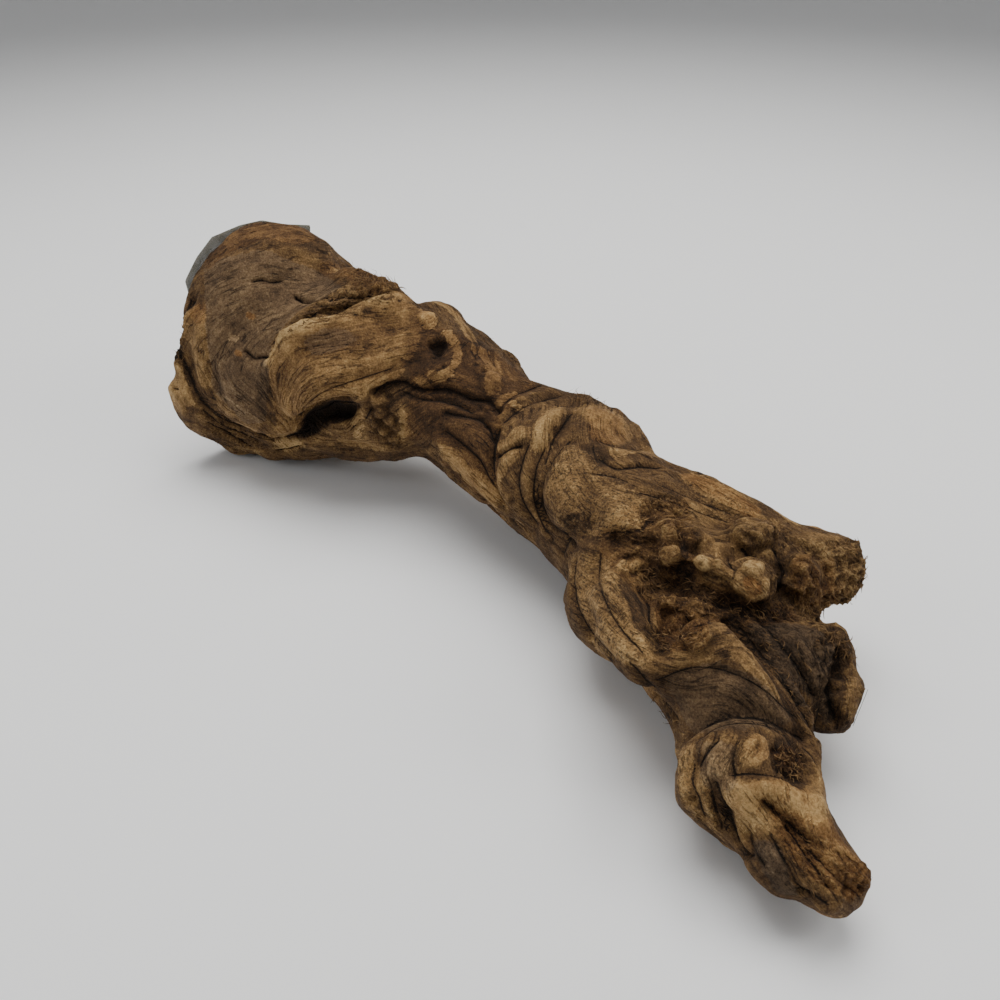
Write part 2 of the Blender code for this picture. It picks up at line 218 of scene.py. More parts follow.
def make_camera():
    """The camera of the reference view."""
    data = bpy.data.cameras.new("camera")
    data.sensor_width = SENSOR
    data.lens = SENSOR * VIEW_FOCAL_PX / (2 * VIEW_CENTRE_PX)
    data.clip_start = NEAREST_SEEN
    camera = placed("camera", data)
    camera.location = VIEW_EYE
    camera.rotation_euler = view_ray(VIEW_CENTRE_PX, VIEW_CENTRE_PX).to_track_quat("-Z", "Y").to_euler()
    bpy.context.scene.camera = camera


# What is drawn on the wood

# Outlines in pixels that more than one row uses.
TONGUE = [
    (268, 362), (300, 337), (340, 323), (400, 301), (424, 310), (416, 350), (392, 384), (340, 400),
    (312, 404), (300, 430), (278, 436),
]
WAIST = [
    (404, 310), (440, 328), (474, 340), (540, 386), (520, 396), (500, 420), (500, 494), (470, 470),
    (440, 440), (404, 440), (410, 380),
]
BELLY_STREAK = [
    (438, 444), (452, 447), (470, 464), (492, 482), (507, 503), (497, 507), (478, 492), (456, 472),
    (442, 457),
]
LOWER_STUB = [(742, 622), (800, 624), (836, 640), (832, 730), (800, 700)]
KNUCKLE_KNOB = [(748, 734), (762, 733), (768, 742), (769, 758), (760, 767), (750, 764), (744, 750)]
TIP_LUMP = [(748, 842), (776, 842), (790, 872), (798, 896), (776, 894)]
BARK_POCKET = [(774, 746), (798, 744), (804, 772), (780, 778)]
HOOK_TOP = [(427, 312), (429, 322)]

# Lines are pixels of the reference view. A fold is (rise, half width, line) in mm and pixels. A step is
# (height, reach, line), and rises on the left of its line as the line runs.
FOLDS = [
    # butt: its swirls, cracks and the gap behind the dome
    (6.0, 6, [(193, 318), (190, 334), (187, 350), (183, 364)]),
    (-1.7, 1.8, [
        (193, 300), (186, 328), (186, 352), (189, 374), (194, 392), (206, 408), (222, 420), (246, 430),
        (268, 441),
    ]),
    (-1.7, 1.2, [(253, 281), (262, 280), (272, 282), (281, 281)]),
    (-3.4, 1.5, [(295, 296), (304, 301), (318, 302), (327, 299)]),
    (-2.2, 1.3, [(245, 351), (253, 358), (260, 357), (271, 357)]),
    (1.1, 5, [(201, 322), (198, 345), (199, 370), (206, 388)]),
    (-0.8, 3, [(214, 300), (208, 335), (210, 368), (222, 394)]),
    (0.8, 5, [(226, 268), (217, 300), (216, 335), (220, 365)]),
    (-0.7, 3, [(238, 262), (262, 256), (292, 258), (322, 272)]),
    (0.8, 5, [(234, 246), (262, 240), (292, 246), (324, 262), (345, 276)]),
    (-2.8, 3, [(178, 338), (174, 352), (180, 362)]),
    (1.7, 4, [(171, 372), (172, 392), (182, 410)]),
    (-1.7, 1.2, [(167, 388), (177, 389)]),
    (-1.7, 2, [(204, 412), (220, 425), (238, 433), (256, 441)]),
    (-1.7, 1.6, [(208, 424), (228, 434), (250, 446)]),
    (1.1, 2.5, [(212, 432), (236, 442), (258, 450)]),
    (-1.4, 1.5, [(205, 436), (222, 445), (240, 450)]),
    # bark crevice over the tongue
    (-1.4, 1.5, [(396, 296), (372, 303), (352, 312), (338, 318), (318, 322), (302, 330), (284, 343)]),
    (5.2, 7, [(290, 340), (311, 325), (335, 312), (360, 301), (388, 293)]),
    (2.0, 3.5, [(300, 322), (322, 306), (346, 292)]),
    (-2.2, 1.6, [(330, 304), (342, 300), (356, 299), (370, 297)]),
    (-2.2, 2, [(346, 311), (338, 313)]),
    (-1.0, 2.2, [(386, 287), (376, 281), (362, 276)]),
    # tongue, hollow and lower root
    (1.4, 2.5, [
        (398, 300), (376, 306), (360, 313), (346, 322), (330, 324), (314, 333), (298, 335), (280, 349),
        (268, 362),
    ]),
    (-1.1, 3, [(392, 330), (360, 340), (330, 346), (306, 352)]),
    (1.1, 4, [(400, 352), (368, 366), (334, 376), (308, 392), (290, 414)]),
    (-0.8, 2, [(392, 368), (356, 380), (324, 392), (304, 408)]),
    (1.4, 2.5, [(294, 430), (306, 416), (318, 404), (332, 400), (354, 400), (372, 396)]),
    (-7, 4.6, [(309, 427), (317, 417), (330, 411), (346, 411)]),
    (-2.8, 1.8, [(306, 432), (290, 439), (272, 443)]),
    (1.1, 1.4, [(306, 440), (290, 446), (274, 448)]),
    (-1.7, 1.1, [(301, 447), (288, 450), (278, 451)]),
    (1.1, 4, [(345, 437), (372, 441), (400, 446)]),
    (-1.7, 2, [(352, 428), (364, 420), (370, 410)]),
    # waist
    (-2.8, 2.2, [
        (376, 394), (388, 386), (402, 383), (418, 389), (446, 390), (460, 395), (474, 400), (488, 401),
        (498, 411),
    ]),
    (-1.7, 1.6, [(404, 392), (420, 399), (440, 400), (456, 405), (472, 412)]),
    (-1.9, 1.6, [(446, 413), (460, 416), (478, 419), (488, 427), (494, 440)]),
    (1.1, 4, [(430, 406), (452, 410), (468, 424), (476, 442)]),
    (1.4, 4, [(440, 442), (454, 457), (470, 473), (484, 490), (498, 503)]),
    (-1.7, 2, [(446, 432), (464, 446), (480, 462), (490, 482), (502, 502)]),
    (-1.1, 2, [(430, 446), (448, 462), (466, 482), (486, 500)]),
    (-1.4, 1.8, [(498, 411), (507, 400), (520, 392), (540, 384)]),
    (1, 2, [(500, 416), (512, 404), (528, 396), (552, 390)]),
    (-1.4, 1.8, [(504, 422), (516, 411), (534, 402), (560, 394)]),
    (1.4, 3, [(473, 345), (487, 352), (506, 353), (522, 366), (534, 376)]),
    # first collar
    (-2.2, 1.4, [(498, 457), (506, 449), (519, 446)]),
    (-1.9, 1.8, [(499, 430), (494, 446), (493, 466), (496, 486), (505, 504), (520, 520), (534, 534)]),
    (1.4, 3, [(513, 456), (503, 464), (501, 478), (505, 492), (514, 502)]),
    (-1.7, 1.8, [(528, 446), (521, 462), (517, 482), (524, 505), (536, 524)]),
    (1.1, 2.5, [(536, 430), (529, 454), (527, 480), (532, 506), (544, 530)]),
    (-1.1, 1.4, [(545, 448), (536, 468), (533, 495), (540, 520), (552, 540)]),
    # second collar and cheeks
    (1.4, 3.5, [(562, 409), (550, 419), (542, 430), (541, 443)]),
    (-1.7, 1.8, [(571, 412), (562, 426), (552, 442), (544, 462)]),
    (-2.5, 2, [
        (568, 438), (556, 449), (546, 467), (540, 487), (539, 503), (545, 519), (556, 532), (572, 545),
    ]),
    (1, 2.5, [(577, 443), (562, 456), (553, 474), (547, 496)]),
    (1.1, 3, [(562, 466), (568, 479), (580, 494)]),
    (-1.4, 5, [(588, 498), (592, 515), (588, 532)]),
    (-1.7, 1.3, [(600, 458), (612, 466), (626, 467), (642, 466), (660, 468)]),
    (-1.4, 1.3, [(591, 472), (612, 475), (628, 481)]),
    (-1.1, 3, [(574, 440), (592, 450), (612, 456)]),
    (1.1, 3, [(614, 452), (636, 454), (660, 460)]),
    (-1.1, 2, [(600, 440), (618, 446), (640, 450)]),
    (-1.4, 2.5, [(606, 533), (624, 532), (640, 528), (648, 518)]),
    # upper slope
    (1.1, 4, [(664, 470), (700, 486), (736, 503), (764, 520)]),
    (-0.8, 2.5, [(660, 484), (696, 500), (730, 514)]),
    (-0.8, 2, [(640, 492), (670, 500), (700, 512), (726, 522)]),
    # burl's pits
    (-2.2, 4, [(650, 516), (664, 508), (680, 512)]),
    (-2.8, 4, [(648, 540), (652, 556), (650, 574)]),
    (-3.3, 4, [(682, 566), (690, 572), (684, 582)]),
    (-3.3, 4, [(660, 584), (684, 590), (706, 592), (730, 600)]),
    (-3.3, 3.5, [(726, 600), (746, 610), (768, 614), (788, 614)]),
    (-2.2, 3, [(616, 540), (634, 540), (646, 548)]),
    (-2.2, 3, [(684, 546), (690, 552), (700, 548)]),
    (-2.2, 1.5, [(741, 548), (750, 552), (758, 554)]),
    (-1.7, 2, [(728, 556), (734, 566), (732, 578)]),
    (-2.2, 2.5, [(776, 548), (782, 566), (780, 586), (776, 600)]),
    (-3.3, 4, [(662, 634), (668, 644), (662, 652)]),
    (-1.7, 2, [(684, 616), (690, 624), (704, 626)]),
    (-1.7, 2, [(640, 590), (648, 604), (652, 620)]),
    # flank
    (1.1, 3, [(590, 556), (586, 576), (596, 606), (614, 634), (634, 664)]),
    (-1.1, 2, [(600, 556), (598, 580), (606, 604), (622, 630), (642, 652)]),
    (1.1, 3, [(612, 572), (616, 596), (628, 622), (640, 640)]),
    (-1.7, 2, [(574, 560), (572, 584), (578, 612), (592, 636), (612, 658)]),
    (-1.4, 2, [(562, 552), (566, 540), (560, 530)]),
    (-1.7, 2, [(632, 664), (644, 680), (660, 698), (676, 720)]),
    # arm
    (1.0, 6, [(637, 636), (642, 652), (656, 658), (690, 646), (712, 634)]),
    (0.9, 5, [(713, 627), (735, 643), (757, 661), (775, 680), (797, 709), (813, 736)]),
    (-2.6, 2.0, [(727, 622), (746, 646), (768, 667), (789, 688), (806, 716), (820, 734)]),
    (-0.8, 2, [(660, 680), (694, 668), (728, 672), (764, 690), (794, 716)]),
    (0.7, 3, [(664, 694), (696, 682), (730, 688), (762, 706), (790, 730)]),
    (-1.7, 1.8, [(690, 736), (708, 722), (731, 715), (762, 717), (782, 726), (802, 738)]),
    (-0.9, 1.4, [(700, 738), (716, 727), (736, 722), (764, 724), (786, 735)]),
    # stubs
    (-1.7, 2, [(740, 626), (760, 650), (782, 672), (802, 702)]),
    (1.1, 2.5, [(752, 622), (772, 648), (792, 672), (808, 700)]),
    (-1.7, 2, [(764, 622), (784, 648), (800, 668), (812, 694)]),
    (1.1, 3, [(786, 626), (800, 640), (810, 660), (816, 684)]),
    (-2.8, 3, [(838, 656), (840, 666), (836, 674)]),
    (-2.8, 2, [(832, 684), (830, 700), (834, 720)]),
    (1.1, 2.5, [(852, 682), (850, 700), (846, 716)]),
    (1.1, 3, [(812, 542), (826, 556), (830, 576)]),
    (-1.1, 2, [(806, 552), (816, 566), (816, 586)]),
    (1.1, 2, [(838, 552), (846, 568), (842, 588)]),
    # front knuckle
    (1.0, 4, [(719, 746), (712, 760), (716, 774)]),
    (-1.9, 1.6, [(699, 764), (706, 751), (717, 741)]),
    (1.1, 2.5, [(704, 774), (702, 792), (710, 812), (718, 828)]),
    (-2.8, 2.2, [(714, 784), (718, 798), (726, 812)]),
    (-1.7, 1.1, [(710, 794), (715, 810), (721, 826)]),
    (1.4, 3, [(682, 762), (680, 782), (684, 800)]),
    (-1.7, 1.8, [(692, 766), (692, 782), (698, 800), (704, 818)]),
    (-1.7, 2, [(736, 742), (732, 760), (734, 776)]),
    (-1.1, 2.5, [(732, 776), (752, 774), (776, 778), (800, 788)]),
    (1.4, 3, [(814, 764), (820, 782), (818, 802)]),
    (-1.1, 1.5, [(804, 748), (816, 762), (824, 782)]),
    # tip
    (1.5, 7, [(733, 796), (747, 788), (768, 786), (790, 794), (808, 806), (820, 820)]),
    (-2.4, 1.6, [(764, 802), (780, 816), (797, 831), (807, 842)]),
    (1.1, 3, [(748, 806), (756, 818), (766, 832)]),
    (0.9, 2.6, [(776, 826), (790, 848), (806, 872), (826, 902)]),
    (-1.2, 1.4, [(786, 826), (802, 850), (822, 878), (836, 898)]),
    (1.1, 2, [(798, 842), (816, 864), (838, 890)]),
    (-1.4, 1.4, [(808, 850), (828, 870), (848, 888)]),
    (1.0, 3.2, [(812, 830), (832, 850), (856, 868), (868, 880)]),
    (-1.3, 1.5, [(770, 834), (780, 852), (790, 872), (802, 892)]),
    (1.4, 3.5, [(772, 852), (780, 870), (792, 886)]),
    (-1.7, 1.6, [(800, 890), (812, 894), (826, 902)]),
    (-2.2, 1.8, [(728, 818), (734, 836), (744, 854)]),
    (1.1, 2, [(738, 822), (744, 838), (754, 852)]),
    (-1.7, 1.5, [(748, 834), (754, 850), (764, 864)]),
    (-1.7, 1.2, [(738, 856), (752, 856)]),
]

STEPS = [
    (1.5, 7, [(396, 296), (372, 303), (350, 313), (330, 321), (300, 331), (272, 356)]),
    (-1.4, 6, [(190, 300), (184, 331), (188, 372), (203, 404), (233, 423), (262, 438)]),
    (-1.5, 5, [(356, 402), (330, 402), (312, 416), (298, 434), (272, 442)]),
    (-1.3, 6, [(568, 440), (547, 466), (539, 492), (546, 520), (572, 546)]),
    (1, 5, [(499, 432), (494, 460), (500, 492), (518, 516)]),
    (-1.5, 7, [(727, 623), (746, 648), (768, 668), (790, 690), (818, 735)]),
    (-1, 6, [(690, 737), (708, 723), (732, 716), (762, 718), (802, 738)]),
    (1, 5, [(606, 534), (640, 530), (650, 518)]),
]

# A knot is (px, py, radius, rise, groove round it, eye depth, eye radius), in mm.
KNOTS = [
    (430, 318, 6.5, 1.5, 0.5, 0.6, 1.2), (438, 348, 6.5, -1.6, 0.2, 3.0, 3.4),
    (493, 378, 7.0, 1.4, 0.6, 0, 1),
    (428, 436, 2.6, 0.5, 0.4, 0, 1), (527, 421, 2.4, 0.6, 0.4, 0, 1), (521, 434, 5.0, 0.9, 0.5, 0, 1),
    (238, 353, 3.4, 0.6, 0.5, 0.5, 1.2), (250, 316, 3.6, 0.3, 0.3, 0.4, 1.2), (379, 401, 5.0, 1.8, 1.3, 0, 1),
    (380, 414, 3.8, 2.0, 1.5, 0, 1), (390, 422, 3.6, 2.0, 1.5, 0, 1), (384, 432, 3.8, 2.0, 1.5, 0, 1),
    (393, 439, 3.2, 1.8, 1.4, 0, 1), (375, 425, 3.0, 1.6, 1.3, 0, 1), (402, 427, 2.2, 0.5, 0.5, 1.0, 0.9),
    (668, 532, 5.4, 1.0, 1.4, 0, 1), (692, 535, 5.0, 0.8, 1.6, 0.8, 1.8), (671, 556, 6.0, 1.0, 1.4, 0, 1),
    (701, 563, 5.0, 1.0, 1.2, 1.2, 0.8), (715, 567, 5.0, 0.9, 0.6, 1.0, 0.8), (728, 572, 4.6, 0.6, 0.6, 0, 1),
    (722, 551, 5.6, 1.4, 1.3, 0, 1), (751, 585, 10.4, 1.2, 1.6, 1.4, 4.6),
    (753, 564, 5.6, 1.4, 1.4, 0.8, 1.5),
    (745, 538, 6.8, 1.4, 1.2, 1.6, 1.4), (764, 532, 6.0, 1.2, 1.2, 1.6, 1.4), (802, 560, 6.4, 1.8, 1.4, 0, 1),
    (797, 580, 7.4, 0.8, 1.5, 1.4, 3.0), (834, 583, 5.6, 1.4, 1.2, 0, 1), (669, 602, 5.0, 0.9, 1.4, 0, 1),
    (692, 611, 5.8, 0.9, 1.5, 0, 1), (678, 624, 4.6, 1.6, 1.3, 0, 1), (697, 636, 6.0, 0.9, 1.5, 1.0, 2.6),
    (624, 567, 4.6, 0.8, 1.0, 1.4, 0.9), (636, 564, 3.4, 1.2, 0.8, 0, 1), (721, 674, 2.2, 0.5, 0.5, 0.8, 0.8),
    (756, 750, 7.4, 1.3, 0.5, 0.8, 0.7), (789, 761, 6.6, 1.6, 1.6, 1.4, 3.0), (806, 752, 4.0, 0.8, 0.6, 0, 1),
    (687, 782, 5.4, 1.0, 0.4, 0, 1), (691, 801, 2.6, -0.3, 0.2, 1.6, 1.4), (718, 768, 5.0, 0.9, 0.3, 0, 1),
    (766, 860, 5.4, 1.2, 0.6, 0, 1), (826, 905, 5.6, 1.0, 0.6, 0, 1),
    (575, 426, 3.0, 0.4, 0.3, 0, 1), (644, 505, 5.0, 0.6, 0.3, 0, 1), (620, 512, 7.0, 0.8, 0.2, 0, 1),
]

# Insect holes: (px, py, radius, depth).
HOLES = [
    (452, 346, 0.9, 3), (443, 366, 0.8, 3), (485, 370, 1.3, 4), (486, 425, 1.0, 4), (513, 500, 1.6, 5),
    (432, 345, 1.2, 4), (438, 352, 1.4, 4), (442, 343, 1.0, 3), (435, 357, 1.0, 3), (757, 749, 0.8, 3),
    (700, 564, 0.9, 2.5), (711, 562, 0.8, 2.5), (721, 570, 0.8, 2.5), (691, 800, 1.4, 3), (755, 529, 1.5, 4),
    (746, 535, 1.0, 3), (629, 452, 0.7, 2), (640, 470, 0.7, 2), (612, 535, 0.8, 2), (276, 342, 0.8, 2),
    (402, 426, 0.8, 2.5), (592, 522, 0.8, 2), (698, 476, 0.8, 2), (622, 672, 0.8, 2), (664, 740, 0.9, 2),
]

# Fields of roughness: (grain in mm, strength in mm, kind, outline) with the outline in pixels.
ROUGH_FIELDS = [
    (6.2, 3.0, "crags", [
        (280, 338), (298, 318), (330, 300), (350, 288), (376, 276), (398, 288), (394, 298), (360, 308),
        (336, 318), (304, 329), (284, 346),
    ]),
    (2.6, 1.3, "crags", [
        (280, 338), (298, 314), (330, 294), (350, 280), (376, 268), (400, 288), (394, 298), (360, 308),
        (336, 318), (304, 329), (284, 346),
    ]),
    (2.6, 1.6, "fibres", [(352, 262), (372, 270), (398, 290), (384, 294), (356, 280)]),
    (2.4, 0.8, "clods", [(368, 404), (396, 404), (404, 424), (398, 444), (376, 446), (364, 428)]),
    (2.8, 2.0, "clods", [(172, 318), (193, 314), (188, 362), (169, 366)]),
    (2.6, 1.3, "fibres", [(200, 412), (256, 434), (262, 450), (232, 458), (202, 438)]),
    (2.6, 1.4, "clods", [(428, 338), (446, 340), (446, 358), (432, 362)]),
    (2.4, 1.2, "fibres", [
        (376, 384), (420, 384), (470, 394), (500, 404), (492, 414), (440, 402), (384, 398),
    ]),
    (3.6, 2.2, "crags", [(640, 500), (672, 490), (696, 510), (690, 524), (664, 522), (642, 530)]),
    (3.4, 1.9, "crags", [(598, 532), (646, 528), (660, 540), (652, 562), (618, 558)]),
    (3.6, 2.6, "clods", [(640, 566), (664, 566), (700, 580), (700, 592), (664, 600), (644, 600)]),
    (3.8, 2.4, "crags", [(690, 580), (734, 596), (790, 606), (800, 622), (726, 622), (692, 606)]),
    (3.2, 2.2, "clods", [(644, 626), (684, 628), (706, 622), (704, 646), (652, 654)]),
    (3.6, 1.8, "clods", [(654, 596), (692, 594), (712, 612), (706, 652), (664, 652)]),
    (4.4, 1.9, "crags", [
        (732, 520), (780, 522), (806, 544), (800, 612), (776, 608), (772, 560), (738, 548),
    ]),
    (5.0, 2.4, "crags", [(800, 538), (858, 540), (866, 570), (862, 594), (846, 606), (802, 618)]),
    (3.2, 3.0, "crags", [(848, 536), (870, 540), (870, 600), (848, 606)]),
    (3.0, 2.4, "clods", [(774, 746), (798, 742), (812, 764), (800, 782), (776, 780)]),
    (3.4, 1.8, "crags", [(652, 518), (700, 520), (704, 546), (690, 566), (658, 570)]),
    (3.4, 3.0, "crags", [(796, 596), (858, 584), (858, 612), (800, 624)]),
    (2.6, 1.4, "clods", [(556, 514), (590, 510), (592, 532), (560, 534)]),
    (2.2, 1.5, "fibres", [(742, 622), (800, 626), (832, 730), (806, 722), (768, 668)]),
    (3.4, 2.2, "crags", [(806, 620), (850, 618), (852, 650), (838, 700), (820, 712), (812, 660)]),
    (2.4, 0.8, "clods", [(838, 652), (868, 664), (864, 724), (820, 738), (826, 700)]),
    (2.2, 0.7, "clods", [(748, 842), (782, 846), (802, 896), (776, 894), (750, 868)]),
    (2.6, 1.6, "fibres", [(766, 800), (806, 824), (872, 876), (856, 904), (800, 900)]),
    (2.8, 1.5, "clods", [(838, 852), (870, 862), (880, 884), (852, 904), (836, 884)]),
]

# The grain's run: each line is (reach in mm, pixels along the fibres).
GRAIN = [
    (22, [(196, 256), (186, 300), (188, 350), (202, 396), (232, 424), (266, 438)]),
    (22, [(222, 240), (210, 290), (208, 340), (222, 384), (248, 410), (276, 424)]),
    (20, [(262, 236), (240, 280), (234, 330), (246, 372), (272, 396)]),
    (18, [(306, 246), (272, 282), (256, 320), (256, 350)]),
    (18, [(345, 268), (318, 292), (296, 304), (276, 326)]),
    (16, [(398, 300), (362, 312), (326, 328), (296, 344), (276, 376), (276, 412), (284, 434)]),
    (18, [(414, 316), (376, 336), (336, 356), (306, 386), (294, 420)]),
    (18, [(420, 344), (388, 366), (356, 382), (324, 402)]),
    (18, [(312, 440), (346, 444), (380, 448), (416, 450)]),
    (12, [(366, 408), (376, 424), (392, 440)]),
    (16, [(396, 296), (440, 312), (480, 336), (520, 362), (546, 386)]),
    (18, [(392, 388), (424, 390), (460, 396), (496, 404), (524, 392), (556, 392)]),
    (18, [(410, 420), (446, 416), (474, 426), (496, 442)]),
    (18, [(416, 446), (446, 450), (474, 478), (502, 504)]),
    (16, [(500, 430), (495, 460), (500, 488), (520, 514)]),
    (16, [(522, 424), (515, 456), (517, 488), (538, 520), (560, 540)]),
    (16, [(546, 404), (536, 440), (530, 480), (542, 516), (566, 540)]),
    (18, [(580, 402), (560, 430), (548, 470), (552, 510), (580, 536), (600, 536)]),
    (18, [(606, 412), (590, 446), (582, 480), (590, 516), (612, 528)]),
    (20, [(622, 440), (656, 458), (700, 480), (740, 504), (780, 526)]),
    (18, [(610, 470), (644, 480), (680, 496), (716, 516), (744, 520)]),
    (18, [(636, 520), (670, 512), (700, 520), (730, 530)]),
    (18, [(600, 540), (640, 546), (680, 562), (716, 580), (760, 606), (790, 616)]),
    (18, [(568, 548), (580, 590), (604, 632), (640, 668)]),
    (18, [(620, 560), (630, 600), (648, 636), (688, 646), (720, 628)]),
    (16, [(780, 540), (786, 570), (788, 606)]),
    (18, [(800, 540), (830, 560), (846, 590)]),
    (20, [(650, 656), (690, 660), (730, 660), (760, 688), (790, 716), (812, 740)]),
    (20, [(640, 670), (690, 692), (740, 694), (776, 716), (804, 742)]),
    (18, [(660, 700), (676, 730), (690, 736), (724, 718), (760, 718), (800, 736)]),
    (20, [(744, 624), (780, 664), (806, 706), (822, 736)]),
    (20, [(790, 624), (820, 664), (830, 720)]),
    (16, [(852, 640), (856, 680), (848, 720)]),
    (16, [(706, 744), (694, 770), (696, 804), (716, 832)]),
    (16, [(740, 736), (728, 766), (724, 800), (734, 830)]),
    (14, [(770, 738), (776, 766), (770, 790)]),
    (14, [(812, 744), (826, 776), (822, 812)]),
    (18, [(736, 792), (768, 806), (800, 838), (834, 874), (860, 896)]),
    (18, [(790, 800), (820, 830), (850, 856), (872, 874)]),
    (18, [(734, 822), (764, 850), (790, 886), (830, 912)]),
]

# The same on the sides that the view doesn't see: places in mm, and where each line is read from.
BACK_GRAIN = [
    (40, "back", [
        (-215, 80, 60), (-120, 80, 80), (-40, 80, 70), (40, 80, 75), (120, 80, 60), (190, 60, 40),
    ]),
    (40, "back", [
        (-215, 80, 30), (-120, 80, 45), (-40, 80, 45), (40, 80, 45), (120, 80, 35), (190, 60, 20),
    ]),
    (40, "top", [
        (-215, 30, 200), (-120, 25, 200), (-40, 10, 200), (40, 10, 200), (120, 20, 200), (200, 20, 200),
    ]),
    (40, "under", [
        (-215, 20, -60), (-120, 10, -60), (-40, 0, -60), (40, 0, -60), (120, 0, -60), (200, -10, -60),
    ]),
    (40, "under", [
        (-215, -30, -60), (-120, -20, -60), (-40, -30, -60), (40, -30, -60), (120, -30, -60),
        (180, -40, -60),
    ]),
]
